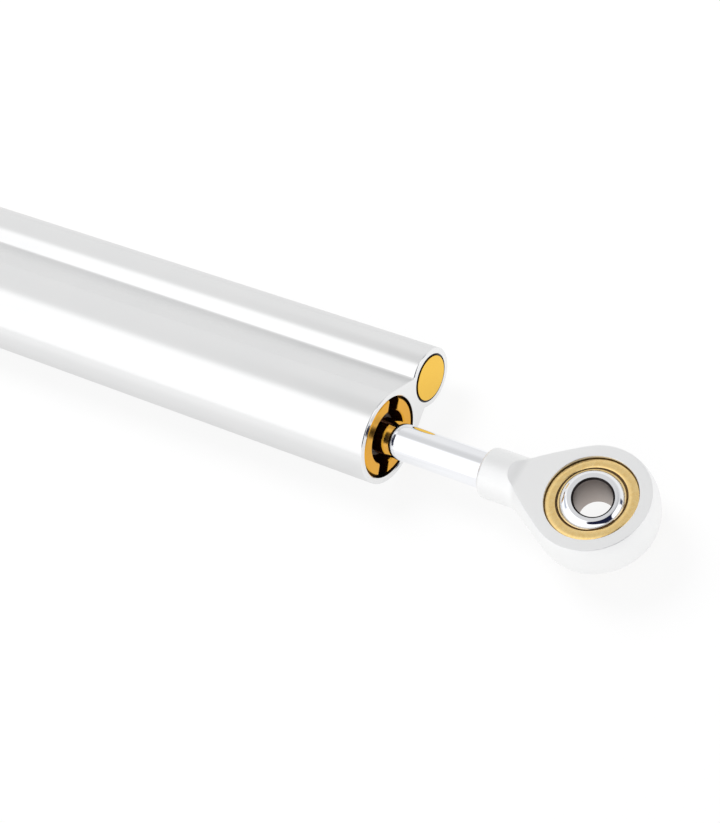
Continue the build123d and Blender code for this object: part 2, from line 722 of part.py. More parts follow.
def make_adjuster_cartridge():
    """The cartridge: nose with a ring groove, thread, flange with click notches, and neck."""
    nose = CHANNEL_RADIUS - SEATED
    groove = nose - 0.8 * CARTRIDGE_ORING_SECTION
    thread = CARTRIDGE_THREAD / 2 - SEATED
    flange = CARTRIDGE_FLANGE_DIAMETER / 2
    neck = NECK_DIAMETER / 2
    neck_groove = neck - NECK_GROOVE_DEPTH
    seal_bore = NEEDLE_DIAMETER / 2 + RUNNING
    needle_bore = NEEDLE_THREAD / 2 + RUNNING
    middle = (CARTRIDGE_NOSE + CARTRIDGE_SHOULDER) / 2
    half = 0.65 * CARTRIDGE_ORING_SECTION
    groove_centre = FLANGE_REAR - NECK_LENGTH / 2
    groove_half = GRUB_DIAMETER / 2 + LOOSE
    blank = turned(
        (CARTRIDGE_NOSE, seal_bore),
        (CARTRIDGE_NOSE, nose),
        (middle + half, nose),
        (middle + half, groove),
        (middle - half, groove),
        (middle - half, nose),
        (CARTRIDGE_SHOULDER - SEATED, nose),
        (CARTRIDGE_SHOULDER - SEATED, thread),
        (REAR_FACE, thread),
        (REAR_FACE, flange),
        (FLANGE_REAR, flange),
        (FLANGE_REAR, neck),
        (groove_centre + groove_half, neck),
        (groove_centre + groove_half, neck_groove),
        (groove_centre - groove_half, neck_groove),
        (groove_centre - groove_half, neck),
        (NECK_REAR, neck),
        (NECK_REAR, needle_bore),
        (CARTRIDGE_SHOULDER, needle_bore),
        (CARTRIDGE_SHOULDER, seal_bore),
    )
    side = Box(CARTRIDGE_FLANGE_THICKNESS, flange, CARTRIDGE_FLANGE_DIAMETER)
    side_centre = (REAR_FACE + FLANGE_REAR) / 2
    side_offset = (CARTRIDGE_FLANGE_FLATS + flange) / 2
    for sign in (1, -1):
        blank = blank - Pos(side_centre, sign * side_offset, 0) * side
    notch_side = math.sqrt(2) * CLICK_DEPTH
    notch = Rot(0, 0, 45) * Box(notch_side, notch_side, DETENT_BALL)
    turns = [Rot(click * 360 / CLICKS_PER_TURN, 0, 0) for click in range(CLICKS_PER_TURN)]
    notches = [turn * Pos(FLANGE_REAR, 0, CLICK_CIRCLE / 2) * notch for turn in turns]
    return on_channel(blank - notches)


def make_cartridge_o_ring():
    """The ring that seals the cartridge's nose in the channel."""
    middle = (CARTRIDGE_NOSE + CARTRIDGE_SHOULDER) / 2
    outer = CHANNEL_BORE - 2 * SEATED
    inner = outer - 2 * (0.8 * CARTRIDGE_ORING_SECTION - SEATED)
    return on_channel(squeezed_ring(middle, CARTRIDGE_ORING_SECTION, outer, inner))


NEEDLE_TIP = SEAT_REAR + NEEDLE_TIP_DEPTH
NEEDLE_RING = CARTRIDGE_SHOULDER + CARTRIDGE_NOSE_LENGTH / 2
NEEDLE_THREAD_FRONT = CARTRIDGE_SHOULDER - 2 * NEEDLE_TRAVEL


def make_metering_needle():
    """The needle: tapered tip, ring groove, threaded middle, and a flatted tail for the knob."""
    stem = NEEDLE_DIAMETER / 2
    thread = NEEDLE_THREAD / 2
    groove = stem - 0.8 * NEEDLE_ORING_SECTION
    half = 0.65 * NEEDLE_ORING_SECTION
    thread_rear = NEEDLE_THREAD_FRONT - NEEDLE_THREAD_LENGTH
    blank = turned(
        (NEEDLE_TIP, 0),
        (NEEDLE_TIP, NEEDLE_TIP_DIAMETER / 2),
        (NEEDLE_TIP - NEEDLE_TIP_LENGTH, stem),
        (NEEDLE_RING + half, stem),
        (NEEDLE_RING + half, groove),
        (NEEDLE_RING - half, groove),
        (NEEDLE_RING - half, stem),
        (NEEDLE_THREAD_FRONT, stem),
        (NEEDLE_THREAD_FRONT, thread),
        (thread_rear, thread),
        (thread_rear, stem),
        (NEEDLE_REAR, stem),
        (NEEDLE_REAR, 0),
    )
    tail = thread_rear - NEEDLE_REAR
    side = Box(tail, NEEDLE_DIAMETER, NEEDLE_DIAMETER)
    offset = (NEEDLE_FLATS + NEEDLE_DIAMETER) / 2
    for sign in (1, -1):
        blank = blank - Pos(NEEDLE_REAR + tail / 2, 0, sign * offset) * side
    return on_channel(blank)


def make_needle_o_ring():
    """The ring that seals the needle in its cartridge."""
    outer = NEEDLE_DIAMETER + 2 * SEATED
    inner = NEEDLE_DIAMETER - 2 * (0.8 * NEEDLE_ORING_SECTION - SEATED)
    return on_channel(squeezed_ring(NEEDLE_RING, NEEDLE_ORING_SECTION, outer, inner))


DETENT_FRONT = KNOB_FRONT - DETENT_DEPTH
GRUB_STATION = FLANGE_REAR - NECK_LENGTH / 2


def make_adjuster_knob():
    """The knob: a fluted cap over the neck that turns the needle by its flats."""
    outer = KNOB_DIAMETER / 2
    cup = NECK_DIAMETER / 2 + LOOSE
    cup_floor = NECK_REAR - LOOSE
    blank = turned(
        (KNOB_FRONT, cup),
        (KNOB_FRONT, outer),
        (KNOB_REAR + KNOB_CHAMFER, outer),
        (KNOB_REAR, outer - KNOB_CHAMFER),
        (KNOB_REAR, 0),
        (cup_floor, 0),
        (cup_floor, cup),
    )
    flute = Rot(0, 90, 0) * Cylinder(KNOB_FLUTE_DIAMETER / 2, KNOB_LENGTH)
    flute_circle = outer + KNOB_FLUTE_DIAMETER / 2 - KNOB_FLUTE_DEPTH
    flute_station = KNOB_REAR + KNOB_LENGTH / 2 - KNOB_LENGTH / 5
    for index in range(KNOB_FLUTES):
        turn = Rot((index + 0.5) * 360 / KNOB_FLUTES, 0, 0)
        blank = blank - turn * Pos(flute_station, 0, flute_circle) * flute
    socket = ring(cup_floor + 1, NEEDLE_REAR - NEEDLE_TRAVEL - LOOSE, NEEDLE_DIAMETER + 2 * LOOSE, 0)
    socket = socket & Box(4 * BODY_LENGTH, KNOB_DIAMETER, NEEDLE_FLATS + 2 * LOOSE)
    grub_hole = Cylinder(
        GRUB_DIAMETER / 2 + SEATED, outer, align=(Align.CENTER, Align.CENTER, Align.MIN)
    )
    detent_hole = rod(KNOB_FRONT + 1, DETENT_FRONT, DETENT_BALL + 2 * SEATED)
    blank = blank - socket
    blank = blank - Pos(GRUB_STATION, 0, 0) * grub_hole
    blank = blank - Pos(0, 0, -CLICK_CIRCLE / 2) * detent_hole
    return on_channel(blank)


def make_knob_grub_screw():
    """The screw whose tip rides in the neck's groove and keeps the knob on."""
    tip = NECK_DIAMETER / 2 - NECK_GROOVE_DEPTH + LOOSE
    head = KNOB_DIAMETER / 2 - GRUB_SINK
    screw = Cylinder(GRUB_DIAMETER / 2, head - tip)
    key = extrude(RegularPolygon(GRUB_KEY_WIDTH / 2, 6, major_radius=False), GRUB_KEY_DEPTH)
    screw = screw - Pos(0, 0, (head - tip) / 2 - GRUB_KEY_DEPTH) * key
    return on_channel(Pos(GRUB_STATION, 0, (head + tip) / 2) * screw)


DETENT_BALL_STATION = FLANGE_REAR - DETENT_BALL / 2 - SEATED


def make_detent_ball():
    """The click ball, drawn at the height of the lands between the notches."""
    return on_channel(Pos(DETENT_BALL_STATION, 0, -CLICK_CIRCLE / 2) * Sphere(DETENT_BALL / 2))


def make_detent_spring():
    """The coil spring behind the click ball, of hexagonal wire."""
    rear = DETENT_FRONT + DETENT_WIRE / 2 + SEATED
    front = DETENT_BALL_STATION - DETENT_BALL / 2 - DETENT_WIRE / 2 - SEATED
    height = front - rear
    coil = (DETENT_BALL - DETENT_WIRE) / 2 - SEATED
    path = Helix(height / DETENT_TURNS, height, coil)
    section = Plane(path @ 0, z_dir=path % 0) * RegularPolygon(DETENT_WIRE / 2, 6)
    spring = sweep(section, path, is_frenet=True)
    return on_channel(Pos(rear, 0, -CLICK_CIRCLE / 2) * Rot(0, 90, 0) * spring)


def pair(piece):
    """A front piece and its twin at the rear."""
    return [piece, rear_twin(piece)]


def build():
    """Every node of the damper by name; a node with more than one piece is a list."""
    gland = make_gland()
    return {
        "housing": make_housing(),
        "front_gland": gland,
        "rear_gland": rear_twin(gland),
        "gland_o_rings": pair(make_gland_o_ring()),
        "wiper_seals": pair(make_wiper_seal()),
        "guide_bushes": pair(make_guide_bush()),
        "rod_seals": pair(make_rod_seal()),
        "seal_washers": pair(make_seal_washer()),
        "seal_circlips": pair(make_seal_circlip()),
        "port_balls": make_port_balls(),
        "channel_plug": make_channel_plug(),
        "channel_plug_o_ring": make_channel_plug_o_ring(),
        "compensator_piston": make_compensator_piston(),
        "compensator_o_ring": make_compensator_o_ring(),
        "needle_seat": make_needle_seat(),
        "adjuster_cartridge": make_adjuster_cartridge(),
        "cartridge_o_ring": make_cartridge_o_ring(),
        "metering_needle": make_metering_needle(),
        "needle_o_ring": make_needle_o_ring(),
        "adjuster_knob": make_adjuster_knob(),
        "knob_grub_screw": make_knob_grub_screw(),
        "detent_ball": make_detent_ball(),
        "detent_spring": make_detent_spring(),
        "piston_rod": make_piston_rod(),
        "piston": make_piston(),
        "piston_o_ring": make_piston_o_ring(),
        "piston_circlips": make_piston_circlips(),
        "piston_ring": make_piston_ring(),
        "rod_eye": make_rod_eye(),
        "bearing_race": make_bearing_race(),
        "bearing_liner": make_bearing_liner(),
        "bearing_ball": make_bearing_ball(),
    }


def main():
    """Writes one STEP file for each node."""
    os.makedirs("parts", exist_ok=True)
    for name, piece in build().items():
        shape = Compound(piece) if isinstance(piece, list) else piece
        export_step(shape, f"parts/{name}.step")


main()
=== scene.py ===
# %% [markdown]
# # Dressing a steering damper
#
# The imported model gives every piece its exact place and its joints, but its curved faces are made
# of flat triangles. Polished metal shows each one of them as a crease in its reflections. So the
# pieces that the eye meets first are made again here as fine, smooth surfaces with the same sizes,
# and they ride on the same bodies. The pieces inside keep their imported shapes.

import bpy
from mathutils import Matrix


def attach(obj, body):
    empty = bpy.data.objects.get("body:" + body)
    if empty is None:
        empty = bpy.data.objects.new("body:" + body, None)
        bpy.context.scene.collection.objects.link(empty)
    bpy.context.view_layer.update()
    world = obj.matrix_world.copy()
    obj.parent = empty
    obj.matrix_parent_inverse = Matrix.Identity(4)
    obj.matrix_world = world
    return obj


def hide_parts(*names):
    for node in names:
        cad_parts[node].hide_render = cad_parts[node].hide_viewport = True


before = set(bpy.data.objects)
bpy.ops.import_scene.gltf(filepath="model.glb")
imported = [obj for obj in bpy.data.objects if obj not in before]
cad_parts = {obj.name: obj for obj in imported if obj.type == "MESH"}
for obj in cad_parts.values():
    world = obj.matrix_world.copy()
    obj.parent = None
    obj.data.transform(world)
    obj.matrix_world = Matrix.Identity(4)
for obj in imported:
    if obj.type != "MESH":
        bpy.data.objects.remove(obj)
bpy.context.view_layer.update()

# %% [markdown]
# ## Working in millimetres
#
# A maker thinks in millimetres and Blender in metres. Every size below is written in
# millimetres and multiplied by MM where Blender takes it. The origin is the centre of the eye's
# bearing, X runs along the rod towards the eye, and Z is up. FAR_OFF stands for any distance
# beyond the damper.

# %% Tools and units
import math

import bmesh
import bpy
import numpy as np
from mathutils import Matrix, Vector

MM = 0.001
FAR_OFF = 99.0
BODY_FRONT = -50.15
BODY_REAR = -180.15
BODY_MIDDLE = (BODY_FRONT + BODY_REAR) / 2
TUBE_RADIUS = 10.5
CHANNEL_TUBE_RADIUS = 6.8
CENTRE_DISTANCE = 17.15
CHANNEL_ROLL = math.radians(-3.45)

# %% [markdown]
# ## The camera
#
# The camera's place was worked out from the ellipses in the photograph: the rims of the gland,
# the plug and the bearing ring all had to land on their outlines. The three rows below are the
# camera's right, down and forward directions. Blender's camera looks along its own -Z with +Y up,
# so the down and forward rows change sign. The lens is the focal length in pixels turned into
# millimetres on a 36 mm sensor, for the photograph's longer side of 823 pixels.

# %% Camera
FOCAL_PIXELS = 2212.7
PHOTO_HEIGHT = 823
SENSOR_WIDTH = 36.0
EYE_POINT = Vector((179.162, -177.091, 369.800)) * MM
RIGHT = Vector((0.81722257, 0.50173853, -0.28355904))
DOWN = Vector((0.28225411, -0.77740879, -0.56211048))
FORWARD = Vector((-0.50247377, 0.37933367, -0.77693377))

camera_data = bpy.data.cameras.new("camera")
camera_data.lens = FOCAL_PIXELS * SENSOR_WIDTH / PHOTO_HEIGHT
camera_data.sensor_width = SENSOR_WIDTH
camera_data.sensor_fit = "AUTO"
camera_data.clip_start = 0.01
camera = bpy.data.objects.new("camera", camera_data)
turned = Matrix((RIGHT, -DOWN, -FORWARD)).transposed().to_4x4()
camera.matrix_world = Matrix.Translation(EYE_POINT) @ turned
bpy.context.scene.collection.objects.link(camera)
bpy.context.scene.camera = camera
print("camera lens", round(camera_data.lens, 2), "mm")

# %% [markdown]
# ## From arrays to meshes
#
# Every new surface below is a grid: a numpy array of rows, columns and three coordinates. One
# function turns any such grid into a mesh. It joins each point to its neighbours in four-sided
# faces, closes the grid round one or both directions, and merges points that fall together, which
# closes the poles of a turned piece. Edges sharper than 32 degrees stay crisp, and weighted
# normals, which are added further down, keep broad flat faces flat up to their softened edges.


# %% A mesh from a grid
CREASE_ANGLE = math.radians(32)


def link(name, mesh):
    """Puts a mesh in the scene as an object at the origin."""
    piece = bpy.data.objects.new(name, mesh)
    bpy.context.scene.collection.objects.link(piece)
    return piece


def finish_mesh(mesh):
    """Merges doubled points, points all faces outwards and marks the sharp edges."""
    work = bmesh.new()
    work.from_mesh(mesh)
    bmesh.ops.remove_doubles(work, verts=work.verts, dist=2e-6)
    bmesh.ops.dissolve_degenerate(work, edges=work.edges, dist=1e-6)
    bmesh.ops.recalc_face_normals(work, faces=work.faces)
    work.to_mesh(mesh)
    work.free()
    mesh.shade_smooth()
    mesh.set_sharp_from_angle(angle=CREASE_ANGLE)
    mesh.update()


def grid_quads(rows, columns, close_rows, close_columns):
    """Point numbers of the faces: each point with the next in its row and the pair one row on."""
    last_row = rows if close_rows else rows - 1
    last_column = columns if close_columns else columns - 1
    i, j = np.meshgrid(np.arange(last_row), np.arange(last_column), indexing="ij")
    on = (i + 1) % rows
    across = (j + 1) % columns
    corners = (i * columns + j, i * columns + across, on * columns + across, on * columns + j)
    return np.stack(corners, axis=-1).reshape(-1, 4)


def piece_from_grid(name, grid, close_rows=True, close_columns=True, caps=False):
    """A mesh object from a grid of points in millimetres; caps closes the first and last row."""
    rows, columns = grid.shape[:2]
    faces = grid_quads(rows, columns, close_rows, close_columns).tolist()
    if caps:
        faces.append(list(range(columns))[::-1])
        faces.append(list(range((rows - 1) * columns, rows * columns)))
    mesh = bpy.data.meshes.new(name)
    mesh.from_pydata((grid.reshape(-1, 3) * MM).tolist(), [], faces)
    finish_mesh(mesh)
    return link(name, mesh)


# %% [markdown]
# ## Turned pieces and soft corners
#
# Most of a damper is made on a lathe. A turned surface is a closed outline of (x, radius) points
# swept round the X axis: the point at angle a is (x, radius times cos a, radius times sin a).
# Real edges are never perfectly sharp, and the thin bright line along a softened edge is what
# makes metal look like metal. So each corner of an outline is replaced by a short curve first.


# %% Lathe helpers
def corner_curve(start, corner, end, t):
    """The curve (1 - t)^2 A + 2 t (1 - t) P + t^2 C, from A round the corner P to C."""
    return (1 - t) ** 2 * start + 2 * t * (1 - t) * corner + t**2 * end


def softened(outline, radius, closed=True):
    """Rounds an outline's corners. Each corner becomes five points of a corner curve, which
    starts and ends up to radius away along its two sides, and never past 0.45 of a side."""
    corner = np.asarray(outline, float)
    ends = []
    for shift in (1, -1):
        side = np.roll(corner, shift, axis=0) - corner
        length = np.linalg.norm(side, axis=1, keepdims=True)
        ends.append(corner + side * np.minimum(radius / length, 0.45))
    t = np.linspace(0, 1, 5)[None, :, None]
    curve = corner_curve(ends[0][:, None], corner[:, None], ends[1][:, None], t)
    if not closed:
        curve[0] = corner[0]
        curve[-1] = corner[-1]
    return curve.reshape(-1, 2)


def around(segments):
    """Angles evenly round a full turn, without the last, which is the first again."""
    return np.linspace(0, 2 * np.pi, segments, endpoint=False)


def heading(angle):
    """Points (cos a, sin a) on a circle of radius 1."""
    return np.stack((np.cos(angle), np.sin(angle)), axis=-1)


def on_lathe(x, radius, angle):
    """Points turned about X by an angle."""
    return np.stack((x + 0 * angle, radius * np.cos(angle), radius * np.sin(angle)), axis=-1)


def at_stations(x, yz):
    """Grid of sections, each set at its own x."""
    across = np.broadcast_to(x[:, None, None], (*yz.shape[:2], 1))
    return np.concatenate((across, yz), axis=-1)


def spun(outline, segments=192):
    """Grid of an outline turned about X."""
    outline = np.asarray(outline, float)
    return on_lathe(outline[:, :1], outline[:, 1:], around(segments)[None])


def spun_upright(outline, segments=192):
    """Grid of an outline of (z, radius) points turned about Z."""
    return np.roll(spun(outline, segments), -1, axis=-1)


def rolled(grid):
    """Rolls a grid about X to the angle at which the pair of tubes lies."""
    c, s = math.cos(CHANNEL_ROLL), math.sin(CHANNEL_ROLL)
    x, y, z = grid[..., 0], grid[..., 1], grid[..., 2]
    return np.stack((x, c * y - s * z, s * y + c * z), axis=-1)


def at_channel(grid):
    """Moves a grid from the X axis to the channel's: out along Y, then rolled about X."""
    return rolled(grid + (0, CENTRE_DISTANCE, 0))


def at_rear(grid):
    """The same grid mirrored to the rear end of the body."""
    return grid * (-1, 1, 1) + (2 * BODY_MIDDLE, 0, 0)


# %% [markdown]
# ## Cutting
#
# Where two surfaces of different kinds cross, such as a bore through a flat face, the crossing
# line is found by Blender's exact boolean. The tool is itself a closed numpy surface. The result
# is applied at once, so a plain mesh is left with no live cut on it.


# %% Cutting helper
def cut(piece, *tools):
    """Takes each tool away from a piece, and deletes the tools."""
    for tool in tools:
        step = piece.modifiers.new("cut", "BOOLEAN")
        step.operation = "DIFFERENCE"
        step.solver = "EXACT"
        step.object = tool
        graph = bpy.context.evaluated_depsgraph_get()
        result = bpy.data.meshes.new_from_object(piece.evaluated_get(graph))
        piece.modifiers.clear()
        piece.data = result
        bpy.data.objects.remove(tool, do_unlink=True)
    finish_mesh(piece.data)
    return piece


def steady_normals(piece):
    """Lets the large faces decide the shading at each point."""
    step = piece.modifiers.new("normals", "WEIGHTED_NORMAL")
    step.keep_sharp = True
    return piece


# %% [markdown]
# ## Materials
#
# Metal is one shader with three things to say: its colour, how rough it is, and which way its
# tool marks run. The marks are a noise pattern on Object coordinates, stretched along the marks
# and fine across them. It drives the roughness a little and the height a very little, so that
# highlights break up as they do on real metal and no face is a single flat tone.


# %% Material helpers
def new_material(name, colour, metallic, roughness):
    """A material with one main shader. Gives back the material, its node tree and the shader."""
    material = bpy.data.materials.new(name)
    material.use_nodes = True
    shader = material.node_tree.nodes["Principled BSDF"]
    shader.inputs["Base Color"].default_value = (*colour, 1.0)
    shader.inputs["Metallic"].default_value = metallic
    shader.inputs["Roughness"].default_value = roughness
    return material, material.node_tree, shader


def coordinates(tree, kind):
    """The x, y and z of one kind of coordinates, as values of their own."""
    place = tree.nodes.new("ShaderNodeTexCoord")
    parts = tree.nodes.new("ShaderNodeSeparateXYZ")
    tree.links.new(place.outputs[kind], parts.inputs["Vector"])
    return parts.outputs


def noise_on_object(tree, stretch, detail):
    """A noise pattern on the piece's own coordinates. Stretch is its fineness per metre, as one
    number or as one for each axis."""
    place = tree.nodes.new("ShaderNodeTexCoord")
    mapping = tree.nodes.new("ShaderNodeMapping")
    noise = tree.nodes.new("ShaderNodeTexNoise")
    mapping.inputs["Scale"].default_value = np.broadcast_to(stretch, 3)
    noise.inputs["Scale"].default_value = 1.0
    noise.inputs["Detail"].default_value = detail
    tree.links.new(place.outputs["Object"], mapping.inputs["Vector"])
    tree.links.new(mapping.outputs["Vector"], noise.inputs["Vector"])
    return noise.outputs["Fac"]


def mapped(tree, source, start, end, low=0.0, high=1.0, curve="LINEAR"):
    """Maps the range from start to end onto the one from low to high, and stays there beyond."""
    node = tree.nodes.new("ShaderNodeMapRange")
    node.interpolation_type = curve
    for name, value in (("From Min", start), ("From Max", end), ("To Min", low), ("To Max", high)):
        node.inputs[name].default_value = value
    tree.links.new(source, node.inputs["Value"])
    return node.outputs["Result"]


def combine(tree, operation, first, second):
    """Two values added, multiplied and so on; the second may be a plain number."""
    node = tree.nodes.new("ShaderNodeMath")
    node.operation = operation
    tree.links.new(first, node.inputs[0])
    if isinstance(second, float):
        node.inputs[1].default_value = second
    else:
        tree.links.new(second, node.inputs[1])
    return node.outputs[0]


def mix_colours(tree, factor, first, second):
    """Passes from one colour to another by a pattern. Each is plain or another node's output."""
    mix = tree.nodes.new("ShaderNodeMix")
    mix.data_type = "RGBA"
    tree.links.new(factor, mix.inputs["Factor"])
    for name, colour in (("A", first), ("B", second)):
        if isinstance(colour, tuple):
            mix.inputs[name].default_value = (*colour, 1.0)
        else:
            tree.links.new(colour, mix.inputs[name])
    return mix.outputs["Result"]


def textured(name, metallic, roughness, spread, marks_of, patches_of, colours, mark_height):
    """A material whose marks vary its roughness and height, and whose colour varies in patches.
    marks_of and patches_of are the stretch and the detail of the two patterns."""
    material, tree, shader = new_material(name, colours[0], metallic, roughness)
    marks = noise_on_object(tree, *marks_of)
    patches = noise_on_object(tree, *patches_of)
    bump = tree.nodes.new("ShaderNodeBump")
    bump.inputs["Distance"].default_value = mark_height
    tree.links.new(marks, bump.inputs["Height"])
    rough = mapped(tree, marks, 0.0, 1.0, roughness - spread, roughness + spread)
    tree.links.new(mix_colours(tree, patches, *colours), shader.inputs["Base Color"])
    tree.links.new(rough, shader.inputs["Roughness"])
    tree.links.new(bump.outputs["Normal"], shader.inputs["Normal"])
    return material


def metal(name, colour, darker, roughness, spread, stretch, mark_height, patches=90):
    """A metal, with its tool marks stretched as the tool ran and its colour in soft patches."""
    marks_of, patches_of = (stretch, 3.0), (patches, 2.0)
    colours = (colour, darker)
    return textured(name, 1.0, roughness, spread, marks_of, patches_of, colours, mark_height)


def painted_shade_upwards(material, bottom, top, colour):
    """Paints shade on a metal: its colour passes into another one between two heights in
    millimetres.
    """
    tree = material.node_tree
    base = tree.nodes["Principled BSDF"].inputs["Base Color"]
    height = mapped(tree, coordinates(tree, "Object")["Z"], bottom * MM, top * MM)
    tree.links.new(mix_colours(tree, height, base.links[0].from_socket, colour), base)


# %% [markdown]
# The body is polished and clear anodised aluminium, drawn lengthwise, so its faint marks run
# along X. The eye is the same alloy off a finer cut, a little duller. Gold is anodising over
# bright aluminium: the dye tints the reflection. The rod and ball are hard chrome, nearly a
# mirror. The bearing's outer ring is soft brass with the grain of a facing tool.
#
# Each line gives a metal's colour and its darker one, its roughness and how far that varies, how
# fine its marks are per metre, and how high they are in metres.

# %% Metals
REAMED = (900, 900, 3200)

tube_metal = metal(
    "polished_tube", (0.875, 0.875, 0.875), (0.84, 0.845, 0.85), 0.19, 0.03, (150, 2600, 2600), 2e-6
)
eye_metal = metal("satin_eye", (0.98, 0.98, 0.975), (0.94, 0.945, 0.95), 0.50, 0.05, 1500, 8e-7)
# Painted shade for the eye's seat wall below the race's face.
seat_painted_shade = metal("painted_shade_seat", (0.22, 0.19, 0.15), (0.14, 0.12, 0.09), 0.40, 0.05, REAMED, 2e-6)
gland_gold = metal("gland_gold", (0.86, 0.45, 0.05), (0.80, 0.38, 0.035), 0.31, 0.04, 2600, 1.5e-6)
plug_gold = metal("plug_gold", (0.95, 0.60, 0.085), (0.90, 0.53, 0.06), 0.20, 0.04, 2600, 1.5e-6)
# Painted shade: the gold down in the glands' slots and pockets and on the plug's side.
gold_painted_shade = metal(
    "gold_recess_painted_shade", (0.12, 0.035, 0.006), (0.08, 0.02, 0.004), 0.45, 0.06, 2600, 2e-6
)
# Painted shade for the wall of the bore's mouth round each gland.
mouth_painted_shade = metal("painted_shade_mouth", (0.05, 0.04, 0.035), (0.03, 0.025, 0.02), 0.45, 0.06, 2600, 2e-6)
plain_metal = metal(
    "plain_aluminium", (0.74, 0.75, 0.77), (0.66, 0.67, 0.69), 0.30, 0.05, (400, 2600, 2600), 2e-6
)
chrome_metal = metal(
    "hard_chrome", (0.935, 0.945, 0.965), (0.91, 0.92, 0.95), 0.06, 0.015, (500, 900, 900), 2e-7
)
brass_metal = metal(
    "race_brass", (1.0, 0.79, 0.39), (0.88, 0.57, 0.20), 0.20, 0.07, 3000, 4e-6, patches=1300
)
bronze_metal = metal(
    "bush_bronze", (0.48, 0.30, 0.13), (0.38, 0.22, 0.09), 0.36, 0.05, (600, 2400, 2400), 2e-6
)
steel_metal = metal("plain_steel", (0.56, 0.56, 0.58), (0.48, 0.48, 0.50), 0.30, 0.05, 2400, 2e-6)
black_steel = metal(
    "blackened_steel", (0.10, 0.10, 0.11), (0.06, 0.06, 0.07), 0.38, 0.06, 2400, 2e-6
)
bore_metal_and_painted_shade = metal("reamed_bore_and_painted_shade", (0.50, 0.45, 0.42), (0.42, 0.36, 0.33), 0.42, 0.06, REAMED, 4e-6)
# The bore's own colour is a dull reamed brown; a painted shade darkens it towards its top.
painted_shade_upwards(bore_metal_and_painted_shade, -5, 5, (0.16, 0.13, 0.115))
# Painted shade for the chamfer round the ball's bore.
chamfer_painted_shade = metal(
    "painted_shade_chamfer", (0.035, 0.03, 0.03), (0.02, 0.018, 0.018), 0.35, 0.05, 2400, 2e-6
)


# %% [markdown]
# Rubber, sliding plastic and the woven bearing liner aren't metal. They are dark and soft, with
# a fine bump and a little variation, so that they read as a different stuff beside the gold.


# %% Rubber, plastic and liner
def soft_stuff(name, colour, paler, roughness, fineness, height):
    """A dull non-metal with a fine grain."""
    grain = (fineness, 4.0)
    return textured(name, 0.0, roughness, 0.08, grain, grain, (colour, paler), height)


rubber = soft_stuff("black_rubber", (0.012, 0.011, 0.012), (0.03, 0.028, 0.028), 0.42, 2500, 4e-6)
wiper_rubber = soft_stuff(
    "brown_wiper", (0.03, 0.016, 0.010), (0.06, 0.032, 0.018), 0.36, 2500, 4e-6
)
slide_plastic = soft_stuff(
    "slide_plastic", (0.05, 0.045, 0.04), (0.09, 0.08, 0.07), 0.5, 1800, 3e-6
)
liner_cloth = soft_stuff("liner_cloth", (0.07, 0.038, 0.015), (0.20, 0.12, 0.05), 0.6, 3600, 8e-6)
print("materials:", len(bpy.data.materials))


# %% Wearing a material and riding a body
def dress(piece, material, body, slot, *nodes):
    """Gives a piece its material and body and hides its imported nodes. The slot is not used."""
    piece.data.materials.clear()
    piece.data.materials.append(material)
    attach(piece, body)
    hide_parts(*nodes)


# %% [markdown]
# ## The body
#
# The body is one extrusion: a large tube and a small one joined by a web. The web's sides leave
# the large tube as tangents, so no line shows there, and they meet the small tube in a narrow
# valley with a small rolled root. The outline is one closed loop: the large arc, the lower
# valley, the small arc, the upper valley. The loop is carried along X and drawn in slightly over
# the last 0.3 mm at each end, which rounds the end edges.


# %% Body outline
WEB_HALF = 5.0
VALLEY_SOFT = 0.5
END_ROUND = 0.3


def valley(sign, web_y, touch):
    """Seven points round a valley's root, from the web's flat to the small tube. They follow a
    corner curve whose corner is the valley's sharp line."""
    v = np.array((web_y, sign * WEB_HALF))
    along_web = (touch - v) / np.linalg.norm(touch - v)
    turn = math.atan2(v[1], v[0] - CENTRE_DISTANCE) - sign * VALLEY_SOFT / CHANNEL_TUBE_RADIUS
    on_tube = CHANNEL_TUBE_RADIUS * heading(turn) + (CENTRE_DISTANCE, 0)
    t = np.linspace(0, 1, 7)[:, None]
    return corner_curve(v + VALLEY_SOFT * along_web, v, on_tube, t)


def body_loop():
    """The closed outline in the plane across X, large arc first, running anticlockwise."""
    web_y = CENTRE_DISTANCE - math.sqrt(CHANNEL_TUBE_RADIUS**2 - WEB_HALF**2)
    reach = math.hypot(web_y, WEB_HALF)
    tangent = math.atan2(WEB_HALF, web_y) + math.acos(TUBE_RADIUS / reach)
    large = np.linspace(tangent, 2 * np.pi - tangent, 180)
    large_arc = TUBE_RADIUS * heading(large)
    root = math.atan2(WEB_HALF, web_y - CENTRE_DISTANCE) - VALLEY_SOFT / CHANNEL_TUBE_RADIUS
    small = np.linspace(-root, root, 110)[1:-1]
    small_arc = CHANNEL_TUBE_RADIUS * heading(small) + (CENTRE_DISTANCE, 0)
    lower = valley(-1, web_y, large_arc[-1])
    upper = valley(1, web_y, large_arc[0])[::-1]
    return np.concatenate((large_arc, lower, small_arc, upper))


def outward(loop):
    """Unit normals of a closed anticlockwise loop, from the two neighbours of each point."""
    along = np.roll(loop, -1, axis=0) - np.roll(loop, 1, axis=0)
    normal = np.stack((along[:, 1], -along[:, 0]), axis=-1)
    return normal / np.linalg.norm(normal, axis=1, keepdims=True)


def carried_body():
    """Grid of the loop carried along X. At each end the loop is drawn in by r (1 - sin a) while
    x moves r (1 - cos a) from the end face, a quarter circle."""
    loop = body_loop()
    quarter = np.linspace(0, np.pi / 2, 6)
    inset = END_ROUND * (1 - np.sin(quarter))
    step = END_ROUND * (1 - np.cos(quarter))
    x = np.concatenate((BODY_FRONT - step, (BODY_REAR + step)[::-1]))
    drawn_in = np.concatenate((inset, inset[::-1]))
    yz = loop[None] - drawn_in[:, None, None] * outward(loop)[None]
    return at_stations(x, yz)
